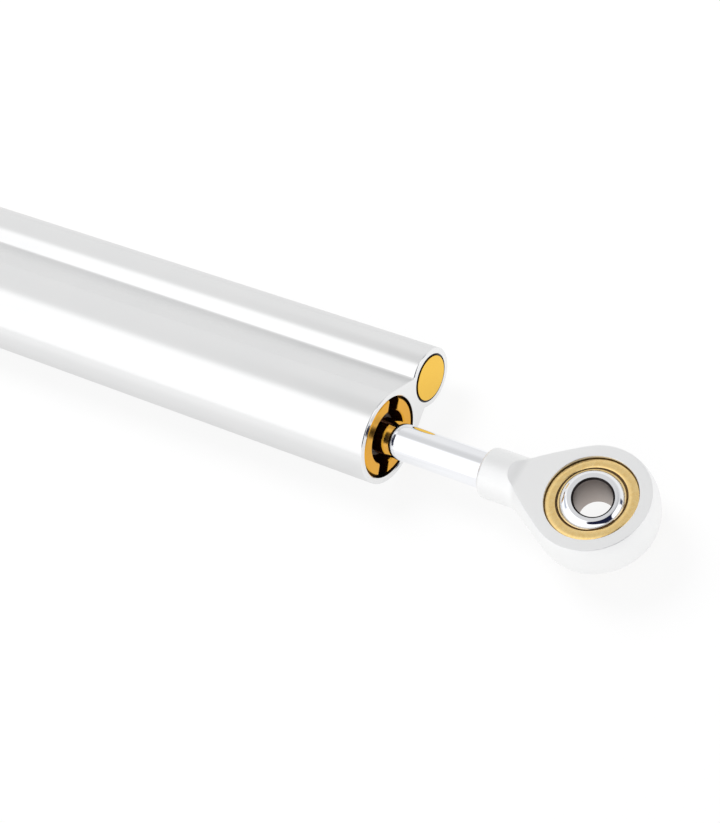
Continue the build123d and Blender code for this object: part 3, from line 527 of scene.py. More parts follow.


# %% [markdown]
# The bores go in with turned tools. The large one is wider where the glands screw in, and its
# mouths are a little wider still, which leaves a thin gap round each gland. The gap's wall gets
# a painted shade further down, so it shows as a thin dark line. Two cross ports are drilled from
# the far side of the small tube through the web, and a steel ball closes the outer end of each.

# %% Bores and ports
BEYOND = 1.0
MOUTH_RADIUS = 9.15
MOUTH_DEPTH = 1.8
MOUTH_CHAMFER = 0.2
GLAND_SEAT_RADIUS = 9.0
BORE_RADIUS = 8.0
RING_POCKET_RADIUS = 5.54
RING_POCKET_DEPTH = 0.48
PLUG_SEAT_RADIUS = 5.3
CHANNEL_RADIUS = 4.5
PORT_STATIONS = (-73.15, -157.15)
PORT_OUTLINE = ((6.5, 0), (6.5, 1.2), (21.33, 1.2), (21.33, 1.52), (25.5, 1.52), (25.5, 0))


def tube_bore():
    """Outline of the tool for the large bore, from beyond one end face to beyond the other."""
    front = np.array(
        (
            (BODY_FRONT + BEYOND, 0), (BODY_FRONT + BEYOND, MOUTH_RADIUS + MOUTH_CHAMFER),
            (BODY_FRONT, MOUTH_RADIUS + MOUTH_CHAMFER),
            (BODY_FRONT - MOUTH_CHAMFER, MOUTH_RADIUS),
            (BODY_FRONT - MOUTH_DEPTH, MOUTH_RADIUS),
            (BODY_FRONT - MOUTH_DEPTH, GLAND_SEAT_RADIUS),
            (BODY_FRONT - 11.4, GLAND_SEAT_RADIUS), (BODY_FRONT - 12.2, BORE_RADIUS),
        )
    )
    return np.concatenate((front, front[::-1] * (-1, 1) + (2 * BODY_MIDDLE, 0)))


def channel_bore():
    """Outline of the tool for the small bore: ring pocket, plug seat, channel, cartridge thread."""
    return (
        (BODY_FRONT + BEYOND, 0), (BODY_FRONT + BEYOND, RING_POCKET_RADIUS),
        (BODY_FRONT - RING_POCKET_DEPTH, RING_POCKET_RADIUS),
        (BODY_FRONT - RING_POCKET_DEPTH, PLUG_SEAT_RADIUS),
        (BODY_FRONT - 6.9, PLUG_SEAT_RADIUS), (BODY_FRONT - 6.9, CHANNEL_RADIUS),
        (BODY_REAR + 13, CHANNEL_RADIUS), (BODY_REAR + 13, PLUG_SEAT_RADIUS),
        (BODY_REAR - BEYOND, PLUG_SEAT_RADIUS), (BODY_REAR - BEYOND, 0),
    )


def port_tool(station):
    """A stepped drill along Y at a station on X, wider at the ball than through the web."""
    grid = spun(PORT_OUTLINE, 48)
    along_y = np.stack((grid[..., 1] + station, grid[..., 0], grid[..., 2]), axis=-1)
    return piece_from_grid("port_tool", rolled(along_y))


housing = piece_from_grid("housing_body", rolled(carried_body()), close_rows=False, caps=True)
bore_tool = piece_from_grid("bore_tool", spun(tube_bore()))
channel_tool = piece_from_grid("channel_tool", at_channel(spun(channel_bore(), 144)))
cut(housing, bore_tool, channel_tool, *[port_tool(station) for station in PORT_STATIONS])
dress(steady_normals(housing), tube_metal, "body", "silver_aluminium", "housing")
print("housing faces:", len(housing.data.polygons))

# %% [markdown]
# ## The glands
#
# Each end of the large bore is closed by a gold gland with two opposite slots for a pin spanner.
# The gland is turned and the slots are straight, but both fit in one grid. At each radius r the
# slot's edges lie at the angle asin(half width / r) either side of its middle, so columns are
# placed there. A point's depth is the larger of its own depth and the smaller of (its depth +
# drop) and the slot's floor. The drop is nothing outside the slot, a hair at its softened edge,
# and FAR_OFF inside, which makes the straight walls.

# %% Gland shape
GLAND_FACE = BODY_FRONT - 0.3
GLAND_SOFT = 0.12
SHADE_DEPTH = 0.52
POCKET_DEPTH = 0.3
FACE_RADIUS = 8.35
SLOT_HALF = 1.75
SLOT_FLOOR = 3.5
SLOT_TURN = math.radians(46.0)
SLOT_SOFT = 0.16
GLAND_OUTLINE = (
    (0, 8.4), (0.5, 8.9), (1.5, 8.9), (1.5, 8.98), (11.0, 8.98), (11.0, 7.98),
    (12.2, 7.98), (12.2, 6.8), (14.15, 6.8), (14.15, 7.98), (20.5, 7.98), (20.5, 6.4),
    (19.08, 6.4), (19.08, 6.8), (18.26, 6.8), (18.26, 6.4), (14.42, 6.4), (14.42, 5.0),
    (6.4, 5.0), (6.4, 4.3), (5.4, 4.3), (5.4, 5.9), (0.3, 5.9), (0, 6.2),
)


def slot_columns():
    """One slot and the plain stretch after it, as (share of the slot's half angle, extra
    millimetres outwards, share of the plain stretch, drop in depth) for each column."""
    edge = SLOT_SOFT * np.array(((1, 0), (0.45, 0.12), (0.12, 0.45), (0, 1)))
    before = [(-1, -extra, 0, drop) for extra, drop in edge]
    inside = [(share, 0, 0, FAR_OFF) for share in np.linspace(-1, 1, 9)]
    after = [(1, extra, 0, drop) for extra, drop in edge[::-1]]
    stretch = [(1, SLOT_SOFT, plain, 0) for plain in np.linspace(0, 1, 70)[1:-1]]
    return np.array(before + inside + after + stretch)


def gland_grid():
    """Grid of the gland's face, slots, thread and pockets. Depth counts inwards from its face."""
    outline = softened(GLAND_OUTLINE, GLAND_SOFT)
    depth, radius = outline[:, :1], outline[:, 1:]
    columns = slot_columns()
    share, extra, plain, drop = (columns[:, i][None] for i in range(4))
    half = np.arcsin(np.clip(SLOT_HALF / radius, 0, 1))
    gap = np.pi - 2 * (half + SLOT_SOFT / radius)
    angle = share * half + extra / radius + plain * gap
    both = np.concatenate((angle, angle + np.pi), axis=1) + SLOT_TURN
    drops = np.concatenate((drop, drop), axis=1)
    deep = np.maximum(depth, np.minimum(depth + drops, SLOT_FLOOR))
    return on_lathe(GLAND_FACE - deep, radius, both)


front_gland = piece_from_grid("front_gland_gold", gland_grid())
dress(steady_normals(front_gland), gland_gold, "body", "gold_anodised", "front_gland")
rear_gland = piece_from_grid("rear_gland_gold", at_rear(gland_grid()))
dress(steady_normals(rear_gland), gland_gold, "body", "gold_anodised", "rear_gland")
print("gland points:", len(front_gland.data.vertices))

# %% [markdown]
# Down in the slots and the seal pocket the gold lies in deep shade, where light bounces off it
# many times and each bounce takes more of the green and blue. That shade is painted: the faces
# whose middle lies deeper than the gland's soft edges get a second, almost black material. The
# thin gap round the gland gets the same painted shade, so the bore's mouth is darkened too.


# %% Faces that get a second material: painted shade, or the bore's own finish
def face_middles(piece):
    """The middle point of every face, in millimetres."""
    middles = np.empty(len(piece.data.polygons) * 3)
    piece.data.polygons.foreach_get("center", middles)
    return middles.reshape(-1, 3) / MM


def second_finish_or_painted_shade(piece, material, chosen):
    """Adds a material to a piece and gives it to the chosen faces."""
    piece.data.materials.append(material)
    index = np.empty(len(piece.data.polygons), dtype=np.int32)
    piece.data.polygons.foreach_get("material_index", index)
    index[chosen] = len(piece.data.materials) - 1
    piece.data.polygons.foreach_set("material_index", index)
    piece.data.update()
    print(piece.name, "faces in", material.name + ":", int(np.count_nonzero(chosen)))


def inwards_and_off_rod(piece):
    """How far each face's middle lies inwards from the gland's face, and how far off the rod."""
    middle = face_middles(piece)
    inwards = GLAND_FACE - BODY_MIDDLE - np.abs(middle[:, 0] - BODY_MIDDLE)
    return inwards, np.hypot(middle[:, 1], middle[:, 2])


# Painted shade: the glands' deep faces and the bore's mouth get the dark materials.
for gland in (front_gland, rear_gland):
    inwards, off_rod = inwards_and_off_rod(gland)
    in_pocket = (inwards > POCKET_DEPTH) & (off_rod < FACE_RADIUS)
    second_finish_or_painted_shade(gland, gold_painted_shade, in_pocket | (inwards > SHADE_DEPTH))

# Painted shade on the bore's mouth round the gland.
inwards, off_rod = inwards_and_off_rod(housing)
along_mouth = (inwards > -0.11) & (inwards < MOUTH_DEPTH - 0.2)
second_finish_or_painted_shade(housing, mouth_painted_shade, along_mouth & (off_rod < MOUTH_RADIUS + 0.02))

# %% [markdown]
# In each gland's pocket sits a wiper with a thin lip that leans out along the rod. It is dark
# and deep in shadow, but its lip catches a line of light, so it is a real turned shape too.

# %% Wipers
WIPER_OUTLINE = (
    (5.38, 4.3), (5.38, 5.88), (3.78, 5.88), (3.78, 4.955), (2.18, 4.73), (2.18, 4.03),
    (3.78, 4.3),
)
WIPER_SOFT = 0.15


def wiper_grid():
    """Grid of the wiper, from its outline of (depth, radius) points."""
    outline = softened(WIPER_OUTLINE, WIPER_SOFT) * (-1, 1) + (GLAND_FACE, 0)
    return spun(outline, 128)


def joined(name, *pieces):
    """Several meshes as one piece, for nodes that hold more than one solid."""
    work = bmesh.new()
    for piece in pieces:
        work.from_mesh(piece.data)
        bpy.data.objects.remove(piece, do_unlink=True)
    mesh = bpy.data.meshes.new(name)
    work.to_mesh(mesh)
    work.free()
    finish_mesh(mesh)
    return link(name, mesh)


front_wiper = piece_from_grid("wiper_a", wiper_grid())
rear_wiper = piece_from_grid("wiper_b", at_rear(wiper_grid()))
wipers = joined("wiper_lips", front_wiper, rear_wiper)
dress(wipers, wiper_rubber, "body", "seal_rubber", "wiper_seals")
print("wiper faces:", len(wipers.data.polygons))

# %% [markdown]
# ## The channel plug and its ring
#
# The small tube's front end is closed by a gold plug. Its disc stands 0.2 mm proud, its side gets
# a painted shade, and a black ring shows round it. The ring is a torus: a circle of radius
# 0.2 mm carried round a circle of radius 5.32 mm.

# %% Plug and ring
PLUG_TOP = BODY_FRONT + 0.2
PLUG_SOFT = 0.16
PLUG_RADIUS = 5.1
PLUG_OUTLINE = (
    (PLUG_TOP, 0), (PLUG_TOP, PLUG_RADIUS), (BODY_FRONT - RING_POCKET_DEPTH, PLUG_RADIUS),
    (BODY_FRONT - RING_POCKET_DEPTH, 5.28), (BODY_FRONT - 6.8, 5.28), (BODY_FRONT - 6.8, 3.0),
    (BODY_FRONT - 3.3, 3.0), (BODY_FRONT - 3.3, 0),
)
RING_HALF = 0.2
RING_CENTRE = (BODY_FRONT - 0.28, 5.32)

plug_grid = at_channel(spun(softened(PLUG_OUTLINE, PLUG_SOFT, closed=False), 144))
plug = piece_from_grid("channel_plug_gold", plug_grid)
dress(steady_normals(plug), plug_gold, "body", "gold_anodised", "channel_plug")
# Painted shade: the plug's side and most of its softened edge get the dark gold.
second_finish_or_painted_shade(plug, gold_painted_shade, face_middles(plug)[:, 0] < PLUG_TOP - 0.06)

circle = RING_HALF * heading(around(20)) + RING_CENTRE
plug_ring = piece_from_grid("channel_plug_ring", at_channel(spun(circle, 144)))
dress(plug_ring, rubber, "body", "seal_rubber", "channel_plug_o_ring")
print("ring points:", len(plug_ring.data.vertices))

# %% [markdown]
# ## The rod
#
# One ground and chromed bar runs from the eye right through the body and out at the far end.
# Its front end is stepped down to the stud that screws into the eye, two grooves take the
# piston's clips, and the tail has a six-sided key socket.

# %% Rod
ROD_RADIUS = 4.0
ROD_SOFT = 0.06
ROD_FRONT = -25.4
ROD_REAR = -232.15
STUD_RADIUS = 3.0
CLIP_RADIUS = 3.6
KEY_ACROSS = 3.0
KEY_DEPTH = 4.0
ROD_OUTLINE = (
    (-13.9, 0), (-13.9, STUD_RADIUS - 0.5), (-14.4, STUD_RADIUS), (ROD_FRONT, STUD_RADIUS),
    (ROD_FRONT, ROD_RADIUS), (-121.31, ROD_RADIUS), (-121.31, CLIP_RADIUS),
    (-122.13, CLIP_RADIUS), (-122.13, ROD_RADIUS), (-136.17, ROD_RADIUS),
    (-136.17, CLIP_RADIUS), (-136.99, CLIP_RADIUS), (-136.99, ROD_RADIUS),
    (ROD_REAR + 0.5, ROD_RADIUS), (ROD_REAR, 3.5), (ROD_REAR, 0),
)


def key_tool():
    """A six-sided bar for the socket in the rod's tail."""
    corner = KEY_ACROSS / 2 / math.cos(math.pi / 6)
    low, high = ROD_REAR - BEYOND, ROD_REAR + KEY_DEPTH
    outline = ((low, 0), (low, corner), (high, corner), (high, 0))
    return piece_from_grid("key_tool", spun(outline, 6))


rod_grid = spun(softened(ROD_OUTLINE, ROD_SOFT, closed=False))
rod = cut(piece_from_grid("chromed_rod", rod_grid), key_tool())
dress(steady_normals(rod), chrome_metal, "rod_and_eye", "hard_chrome", "piston_rod")
print("rod faces:", len(rod.data.polygons))

# %% [markdown]
# ## The eye
#
# The eye is the piece that takes the most skill. A machinist turns a ball head, a coned neck
# and a shank as one flowing line, and then mills the head flat on both sides. The mill's round
# corner leaves a pointed tongue where each flat runs out into the shank.
#
# The grid goes station by station along the turned line. At each station the section is a circle
# of radius R cut off at the height h of the flat, so the arc runs only to the angle asin(h / R),
# then comes a tiny rounded corner, and then the straight flat. Where h is larger than R the arc
# runs the whole way and the flat shrinks to nothing.

# %% Eye: the turned line and the flats
HEAD_RADIUS = 13.25
SHANK_RADIUS = 5.5
SHANK_SOFT = 1.0
NECK_TAPER = math.radians(30.5)
NECK_FILLET = 4.0
FLAT_HEIGHT = 4.5
FLAT_END = -15.9
MILL_RADIUS = 4.5
EYE_SOFT = 0.14


def arc_line(centre, radius, start, end, points):
    """Points of a circular arc in the plane of (x, radius)."""
    angle = np.linspace(start, end, points)
    return radius * heading(angle) + centre


def turned_line():
    """Stations along the eye's turned outline. The neck's cone touches the head's circle at the
    angle T of its taper, at H (-sin T, cos T). The fillet's centre lies one fillet radius f above
    the shank and f beyond the cone, so its x is touch_x + (S + f - touch_r - f / cos T) / tan T."""
    touch = HEAD_RADIUS * np.array((-math.sin(NECK_TAPER), math.cos(NECK_TAPER)))
    level = SHANK_RADIUS + NECK_FILLET
    climb = level - touch[1] - NECK_FILLET / math.cos(NECK_TAPER)
    fillet_x = touch[0] + climb / math.tan(NECK_TAPER)
    back = np.array(((ROD_FRONT, 0), (ROD_FRONT, 2.0)))
    start = ROD_FRONT + SHANK_SOFT
    corner = arc_line((start, SHANK_RADIUS - SHANK_SOFT), SHANK_SOFT, np.pi, np.pi / 2, 9)
    shank_x = np.linspace(start, fillet_x, 60)[1:-1]
    shank = np.stack((shank_x, np.full_like(shank_x, SHANK_RADIUS)), axis=-1)
    fillet = arc_line((fillet_x, level), NECK_FILLET, -np.pi / 2, NECK_TAPER - np.pi / 2, 24)
    cone = fillet[-1] + (touch - fillet[-1]) * np.linspace(0, 1, 40)[1:, None]
    head = arc_line((0, 0), HEAD_RADIUS, np.pi / 2 + NECK_TAPER, 0, 130)[1:]
    return np.concatenate((back, corner, shank, fillet, cone, head))


def flat_height(x):
    """Height of the milled flat at x: level, then rising round the mill's corner, and far above
    the shank beyond it."""
    run = np.clip(FLAT_END - x, 0, MILL_RADIUS)
    rise = MILL_RADIUS - np.sqrt(MILL_RADIUS**2 - run**2)
    return np.where(FLAT_END - x > MILL_RADIUS, FAR_OFF, FLAT_HEIGHT + rise)


# %% Eye: the sections
def quarter_section(radius, height):
    """One quarter of each section, from the side to the middle of the flat: the arc, a corner
    curve, and the flat. Arrays hold one row for each station."""
    radius = radius[:, None]
    sine = np.clip(height[:, None] / np.maximum(radius, 1e-9), 0, 1)
    edge = np.arcsin(sine)
    back_off = np.minimum(EYE_SOFT / np.maximum(radius, 1e-9), 0.3 * edge)
    arc = np.linspace(0, 1, 28)[None] * (edge - back_off)
    arc_yz = radius[..., None] * heading(arc)
    corner = radius[..., None] * heading(edge)
    in_y = np.minimum(EYE_SOFT, 0.5 * corner[..., 0])
    on_flat = corner - np.stack((in_y, 0 * in_y), axis=-1)
    t = np.linspace(0, 1, 6)[1:-1][None, :, None]
    curve = corner_curve(arc_yz[:, -1:], corner, on_flat, t)
    flat = on_flat * np.stack((np.linspace(1, 0, 6), np.ones(6)), axis=-1)[None]
    return np.concatenate((arc_yz, curve, flat), axis=1)


def eye_grid():
    """The whole skin of the eye: four mirrored quarters at every station."""
    line = turned_line()
    quarter = quarter_section(line[:, 1], flat_height(line[:, 0]))
    turned_over = quarter[:, ::-1]
    loops = (quarter, turned_over * (-1, 1), quarter * (-1, -1), turned_over * (1, -1))
    return at_stations(line[:, 0], np.concatenate(loops, axis=1))


# %% Eye: the seat and the stud's hole
SEAT_RADIUS = 9.82
SEAT_RIM = 9.92
SEAT_GROOVE = 3.95
SEAT_TOP = (
    (8, 0), (8, SEAT_RIM), (FLAT_HEIGHT, SEAT_RIM), (FLAT_HEIGHT - 0.1, SEAT_RADIUS),
    (SEAT_GROOVE, SEAT_RADIUS),
)
SEAT_TOOL = (*SEAT_TOP, *[(-z, r) for z, r in SEAT_TOP[::-1]])
STUD_TOOL = ((-27, 0), (-27, 3.02), (-12.9, 3.02), (-12.9, 0))

seat_tool = piece_from_grid("seat_tool", spun_upright(SEAT_TOOL, 256))
stud_tool = piece_from_grid("stud_tool", spun(STUD_TOOL, 64))
eye = cut(piece_from_grid("rod_eye_head", eye_grid(), close_rows=False), seat_tool, stud_tool)
dress(steady_normals(eye), eye_metal, "rod_and_eye", "satin_aluminium", "rod_eye")
middle = face_middles(eye)
on_seat = np.hypot(middle[:, 0], middle[:, 1]) < SEAT_RADIUS + 0.02
# Painted shade: the seat's wall below the race's face gets the dark material.
second_finish_or_painted_shade(eye, seat_painted_shade, on_seat & (np.abs(middle[:, 2]) < SEAT_GROOVE))
print("eye faces:", len(eye.data.polygons))

# %% [markdown]
# ## The bearing
#
# Three nested pieces: a brass ring with a hollow spherical inside, a thin woven liner, and a
# chromed ball. The ring's outline is straight outside and an arc of a circle inside; turned about
# Z, that arc is the spherical seat. Its faces are crowned by 0.15 mm, which is enough to catch
# the bright sky in a band on the near side and another on the far side. The ball was left tilted
# by hand, so its grid is turned by 11.8 degrees towards the heading at which it lies.

# %% Bearing ring and liner
RACE_RADIUS = 9.8
RACE_HALF = 4.0
RACE_SIDE = 3.6
RACE_EDGE = 3.85
RACE_CROWN = 8.45
SEAT_SPHERE = 8.42
LINER_OUT = 8.40
LINER_IN = 8.13
LINER_HALF = 3.55


def sphere_side(radius, top, bottom, points=41):
    """(z, radius) points down the side of a sphere, from height top to height bottom."""
    angle = np.linspace(math.asin(top / radius), math.asin(bottom / radius), points)
    return np.stack((radius * np.sin(angle), radius * np.cos(angle)), axis=-1)


def race_outline():
    """The ring's outline: outside, crowned face z = h - d (r - c)^2, hollow sphere, other face."""
    inner = math.sqrt(SEAT_SPHERE**2 - RACE_EDGE**2)
    radius = np.linspace(RACE_RADIUS - 0.3, inner, 14)
    height = RACE_HALF - (RACE_HALF - RACE_EDGE) * (radius - RACE_CROWN) ** 2
    crowned = np.stack((height, radius), axis=-1)[:-1]
    face = np.concatenate(([(RACE_SIDE, RACE_RADIUS)], crowned))
    seat = sphere_side(SEAT_SPHERE, RACE_EDGE, -RACE_EDGE)
    return np.concatenate((face, seat, face[::-1] * (-1, 1)))


race = piece_from_grid("bearing_race_brass", spun_upright(race_outline(), 256))
dress(steady_normals(race), brass_metal, "rod_and_eye", "race_brass", "bearing_race")

liner_inside = sphere_side(LINER_IN, -LINER_HALF, LINER_HALF)
liner_outline = np.concatenate((sphere_side(LINER_OUT, LINER_HALF, -LINER_HALF), liner_inside))
liner = piece_from_grid("bearing_liner_cloth", spun_upright(liner_outline, 192))
dress(steady_normals(liner), liner_cloth, "liner", "liner_ptfe", "bearing_liner")
print("race and liner faces:", len(race.data.polygons), len(liner.data.polygons))

# %% Ball
BALL_RADIUS = 8.1
BALL_HALF = 6.0
BOLT_RADIUS = 4.0
BOLT_CHAMFER = 0.4
RIM_SOFT = 0.36
RIM_HEIGHT = 5.74
BALL_TILT = math.radians(11.8)
BALL_HEADING = math.radians(-28.0)


def ball_outline():
    """The spherical side, the two end faces and the bore. Each rim is a corner curve, from the
    end face over the sharp corner to the sphere."""
    corner = np.array((BALL_HALF, math.sqrt(BALL_RADIUS**2 - BALL_HALF**2)))
    on_face = corner - (0, RIM_SOFT)
    side = sphere_side(BALL_RADIUS, RIM_HEIGHT, -RIM_HEIGHT, 81)
    t = np.linspace(0, 1, 12)[:-1, None]
    upper_rim = corner_curve(on_face, corner, side[0], t)
    lower_rim = upper_rim[::-1] * (-1, 1)
    mouth = (-BALL_HALF, BOLT_RADIUS + BOLT_CHAMFER)
    bore = np.array((mouth, (BOLT_CHAMFER - BALL_HALF, BOLT_RADIUS)))
    return np.concatenate((upper_rim, side, lower_rim, bore, bore[::-1] * (-1, 1)))


def leaned(grid):
    """Turns a grid about Y by the tilt and then about Z by the heading."""
    lean = Matrix.Rotation(BALL_HEADING, 3, "Z") @ Matrix.Rotation(BALL_TILT, 3, "Y")
    return grid @ np.array(lean).T


ball = piece_from_grid("bearing_ball_chrome", leaned(spun_upright(ball_outline(), 256)))
dress(steady_normals(ball), chrome_metal, "ball", "hard_chrome", "bearing_ball")

# %% [markdown]
# The bolt's bore isn't polished like the ball's outside. It is only reamed and looks dull and
# brown, and a painted shade darkens it towards its top. The small chamfer round its mouth gets a
# painted shade, almost black.
# The distance of a face's middle p from the ball's own axis n is the length of p minus its part
# along n. Faces nearer than 4.05 mm are the bore. Faces up to 4.4 mm away that don't lie in the
# ball's end faces are the chamfer.

# %% Bore of the ball
axis = leaned(np.array((0.0, 0.0, 1.0)))
middle = face_middles(ball)
along_axis = middle @ axis
off_axis = np.linalg.norm(middle - np.outer(along_axis, axis), axis=1)
in_bore = off_axis < BOLT_RADIUS + 0.05
near_bore = off_axis < BOLT_RADIUS + BOLT_CHAMFER
second_finish_or_painted_shade(ball, bore_metal_and_painted_shade, in_bore)
second_finish_or_painted_shade(ball, chamfer_painted_shade, ~in_bore & near_bore & (np.abs(along_axis) < BALL_HALF - 0.01))

# %% [markdown]
# ## The adjuster knob
#
# The knob is turned like the rest, but sixteen half-round flutes run along it for grip. At an
# angle d from a flute's middle, the flute's floor lies at the radius
# c cos d - sqrt(q^2 - c^2 sin^2 d), where q is the flute's own radius and c the distance of its
# centre. The knob's radius is the smaller of that and the turned outline, which leaves the inner
# surfaces alone.

# %% Knob
KNOB_FRONT = -181.75
KNOB_REAR = -192.25
KNOB_RADIUS = 6.4
KNOB_SOFT = 0.15
KNOB_FLOOR = -188.75
NECK_RADIUS = 3.4
FLUTES = 16
FLUTE_RADIUS = 1.0
FLUTE_DEPTH = 0.45
FLUTE_CENTRE = KNOB_RADIUS + FLUTE_RADIUS - FLUTE_DEPTH
FLUTE_END = KNOB_REAR + 8.4
KNOB_OUTSIDE = (
    (KNOB_FRONT, NECK_RADIUS), (KNOB_FRONT, KNOB_RADIUS), (KNOB_REAR + 0.6, KNOB_RADIUS),
    (KNOB_REAR, KNOB_RADIUS - 0.6), (KNOB_REAR, 3.0),
)
KNOB_INSIDE = ((KNOB_REAR, 0), (KNOB_FLOOR, 0), (KNOB_FLOOR, NECK_RADIUS))
GRUB_STATION = -185.15
GRUB_RADIUS = 1.27


def flute_floor(angle):
    """Radius of the flutes' floor at each angle, and far outside the knob between them."""
    pitch = 2 * np.pi / FLUTES
    from_middle = (angle % pitch) - pitch / 2
    across = FLUTE_CENTRE * np.sin(from_middle)
    under = FLUTE_RADIUS**2 - across**2
    floor = FLUTE_CENTRE * np.cos(from_middle) - np.sqrt(np.maximum(under, 0))
    return np.where(under > 0, floor, FAR_OFF)


def knob_grid():
    """Grid of the fluted knob. The outline has two points at the flutes' end, one either side."""
    outline = softened(KNOB_OUTSIDE, KNOB_SOFT, closed=False)
    wall = np.array(((FLUTE_END + 0.001, KNOB_RADIUS), (FLUTE_END - 0.001, KNOB_RADIUS)))
    along = outline[:, 0] > FLUTE_END
    outline = np.concatenate((outline[along], wall, outline[~along], KNOB_INSIDE))
    angle = around(FLUTES * 36)[None]
    limit = np.where(outline[:, :1] < FLUTE_END, flute_floor(angle), FAR_OFF)
    return on_lathe(outline[:, :1], np.minimum(outline[:, 1:], limit), angle)


def grub_tool():
    """A drill that goes up through the knob's wall, for the grub screw."""
    grid = spun(((3, 0), (3, GRUB_RADIUS), (7, GRUB_RADIUS), (7, 0)), 48)
    upright = np.stack((grid[..., 1] + GRUB_STATION, grid[..., 2], grid[..., 0]), axis=-1)
    return piece_from_grid("round_tool", at_channel(upright))


knob = piece_from_grid("adjuster_knob_fluted", at_channel(knob_grid()))
cut(knob, grub_tool())
dress(steady_normals(knob), plug_gold, "knob", "gold_anodised", "adjuster_knob")
print("knob faces:", len(knob.data.polygons))

# %% [markdown]
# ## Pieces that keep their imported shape
#
# The rest is small, hidden or both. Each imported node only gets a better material.

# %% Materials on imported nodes
O_RINGS = "gland_o_rings piston_o_ring compensator_o_ring cartridge_o_ring needle_o_ring"
PACKED_FINISH = (
    (rubber, O_RINGS + " rod_seals"),
    (bronze_metal, "guide_bushes"),
    (brass_metal, "needle_seat"),
    (steel_metal, "seal_washers metering_needle port_balls detent_ball"),
    (black_steel, "seal_circlips piston_circlips detent_spring knob_grub_screw"),
    (plain_metal, "piston compensator_piston"),
    (gland_gold, "adjuster_cartridge"),
    (slide_plastic, "piston_ring"),
)
for material, names in PACKED_FINISH:
    for name in names.split():
        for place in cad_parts[name].material_slots:
            place.material = material
    print(material.name + ":", names)

# %% [markdown]
# ## The floor
#
# The damper lies on its large tube, so the floor is 10.5 mm below the rod's axis. It is plain
# white. To the camera, and in the metal's reflections, most of its brightness is its own, so it
# stays white, while a share is still lit by the lamps and keeps the soft shadows. Close beside
# the body and behind it, the floor that the metal mirrors gets a painted shade, a little greyer,
# like the shade on paper next to an object.

# %% Floor
FLOOR_LEVEL = -TUBE_RADIUS
FLOOR_HALF = 1500.0
OWN_SHARE = 0.86
FLOOR_PAINTED_SHADE = 0.82


def grey(value):
    """The same value for red, green and blue."""
    return (value, value, value)


def floor_grid():
    """A flat square of points at the floor's level."""
    side = np.linspace(-FLOOR_HALF, FLOOR_HALF, 3)
    x, y = np.meshgrid(side, side, indexing="ij")
    return np.stack((x, y, np.full_like(x, FLOOR_LEVEL)), axis=-1)


def seen_directly(tree):
    """1 for rays from the camera, from glossy metal or through glass, and 0 for the others."""
    rays = tree.nodes.new("ShaderNodeLightPath").outputs
    either = combine(tree, "MAXIMUM", rays["Is Camera Ray"], rays["Is Glossy Ray"])
    return combine(tree, "MAXIMUM", either, rays["Is Transmission Ray"])


floor_paint, tree, shader = new_material("floor_paint", grey(0.86), 0.0, 0.9)
where = coordinates(tree, "Object")
# Painted shade: the floor as the metal mirrors it greys beside and behind the body.
beyond_near_side = mapped(tree, where["Y"], -60 * MM, -12 * MM)
along_body = mapped(tree, where["X"], -45 * MM, -60 * MM)
mirrored = tree.nodes.new("ShaderNodeLightPath").outputs["Is Glossy Ray"]
mirrored = combine(tree, "MULTIPLY", mirrored, beyond_near_side)
mirrored = combine(tree, "MULTIPLY", mirrored, along_body)
shade = mix_colours(tree, mirrored, grey(1.0), grey(FLOOR_PAINTED_SHADE))

own_light = tree.nodes.new("ShaderNodeEmission")
blend = tree.nodes.new("ShaderNodeMixShader")
share = combine(tree, "MULTIPLY", seen_directly(tree), OWN_SHARE)
tree.links.new(shade, own_light.inputs["Color"])
tree.links.new(share, blend.inputs[0])
tree.links.new(shader.outputs[0], blend.inputs[1])
tree.links.new(own_light.outputs[0], blend.inputs[2])
tree.links.new(blend.outputs[0], tree.nodes["Material Output"].inputs["Surface"])
floor = piece_from_grid("floor", floor_grid(), close_rows=False, close_columns=False)
floor.data.materials.append(floor_paint)
print("floor at", FLOOR_LEVEL, "mm")

# %% [markdown]
# ## The studio
#
# Polished metal shows its surroundings and little else, so the surroundings are the look. In the
# photograph the far sides of the tubes are pale grey and the sides towards the camera are white.
# A tube's far side mirrors the sky behind the object, and its near side mirrors the sky behind
# the camera. So the sky is pale grey over the far half, a little darker overhead, and white over
# the near half. On the eye's side, where the studio is open, stands a dark shape, and the chromed
# ball shows it as the crescent on its rim. A narrow second one shows as the small patch on the
# ball's right, and a grey one lies far left. Their edges were found by following rays off the
# ball's rim. Each is a smooth step in a direction's x, y or z, or in a mix of them, and an area is
# the product of its edges.

# %% Sky
FAR_SKY = 0.88
OVERHEAD = 0.71
NEAR_SKY = 1.20
SKY_LIGHT = 0.62
DARK_SHAPE = (0.012, 0.014, 0.040)
NARROW_SHAPE = (0.09, 0.10, 0.15)
LEFT_SHAPE = (0.50, 0.54, 0.62)

world = bpy.data.worlds.new("studio")
bpy.context.scene.world = world
world.use_nodes = True
tree = world.node_tree
tree.nodes.clear()
x, y, z = coordinates(tree, "Generated")


def step_between(source, low, high):
    """0 below low, 1 above high and a smooth rise between. Where low is above high, it falls."""
    return mapped(tree, source, low, high, curve="SMOOTHSTEP")


def product(first, *others):
    """Values multiplied with each other."""
    for other in others:
        first = combine(tree, "MULTIPLY", first, other)
    return first


def window(source, low, high, soft):
    """1 between low and high, with soft edges, and 0 outside."""
    rise = step_between(source, low - soft, low + soft)
    return product(rise, step_between(source, high + soft, high - soft))


def plus(first, second, share):
    """The first value plus a share of the second."""
    return combine(tree, "ADD", first, product(second, share))


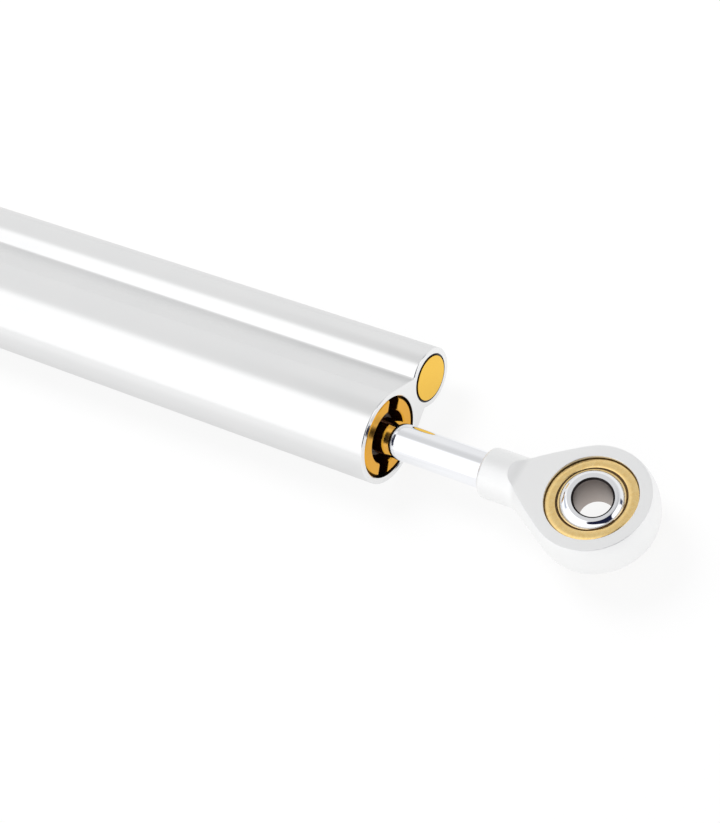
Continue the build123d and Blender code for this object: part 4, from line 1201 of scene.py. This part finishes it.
overhead = product(step_between(z, 0.50, 0.82), step_between(x, -0.53, -0.49))
near = step_between(plus(y, combine(tree, "MAXIMUM", x, -0.10), -0.5), 0.24, -0.02)
dark = product(
    step_between(plus(x, y, 0.15), -0.02, 0.05),
    step_between(plus(y, x, 0.45), 0.28, 0.22),
    step_between(plus(z, product(x, x), 0.42), 0.36, 0.44),
)
narrow = product(
    window(plus(y, x, -0.75), -0.13, 0.12, 0.05),
    window(z, -0.05, 0.64, 0.06),
    step_between(x, 0.42, 0.52),
)
left = product(
    window(y, -0.42, 0.02, 0.05),
    window(z, 0.12, 0.62, 0.08),
    step_between(x, -0.68, -0.78),
)
mirrored_sky = grey(FAR_SKY)
for area, colour in (
    (overhead, grey(OVERHEAD)),
    (near, grey(NEAR_SKY)),
    (dark, DARK_SHAPE),
    (narrow, NARROW_SHAPE),
    (left, LEFT_SHAPE),
):
    mirrored_sky = mix_colours(tree, area, mirrored_sky, colour)

rays = tree.nodes.new("ShaderNodeLightPath").outputs
sky = mix_colours(tree, rays["Is Glossy Ray"], grey(SKY_LIGHT), mirrored_sky)
shown = mix_colours(tree, rays["Is Camera Ray"], sky, grey(1.0))
background = tree.nodes.new("ShaderNodeBackground")
output = tree.nodes.new("ShaderNodeOutputWorld")
tree.links.new(shown, background.inputs["Color"])
tree.links.new(background.outputs[0], output.inputs["Surface"])
print("sky nodes:", len(tree.nodes))

# %% [markdown]
# Two soft lamps shape what isn't metal and cast the shadows: a large one above and behind on the
# body's side, whose shadows fall towards the eye's end, and a weaker one over the camera. The
# metal doesn't mirror them, because the painted sky stands for them there.


# %% Lamps
LAMP_AIM = Vector((-50, 5, 0)) * MM


def lamp(name, place, power, size):
    """A square soft lamp at a place in millimetres, aimed at the front of the body."""
    data = bpy.data.lights.new(name, "AREA")
    data.energy = power
    data.size = size * MM
    light = bpy.data.objects.new(name, data)
    light.location = Vector(place) * MM
    aim = LAMP_AIM - light.location
    light.rotation_euler = aim.to_track_quat("-Z", "Y").to_euler()
    light.visible_glossy = False
    bpy.context.scene.collection.objects.link(light)
    print(name, "of", power, "W")


lamp("key_lamp", (-420, 160, 620), 3.6, 360)
lamp("fill_lamp", (260, -420, 560), 1.2, 420)

# %% [markdown]
# ## Done
#
# The picture is shown as it is computed, with no film look.

# %% Finish
bpy.context.scene.view_settings.view_transform = "Standard"
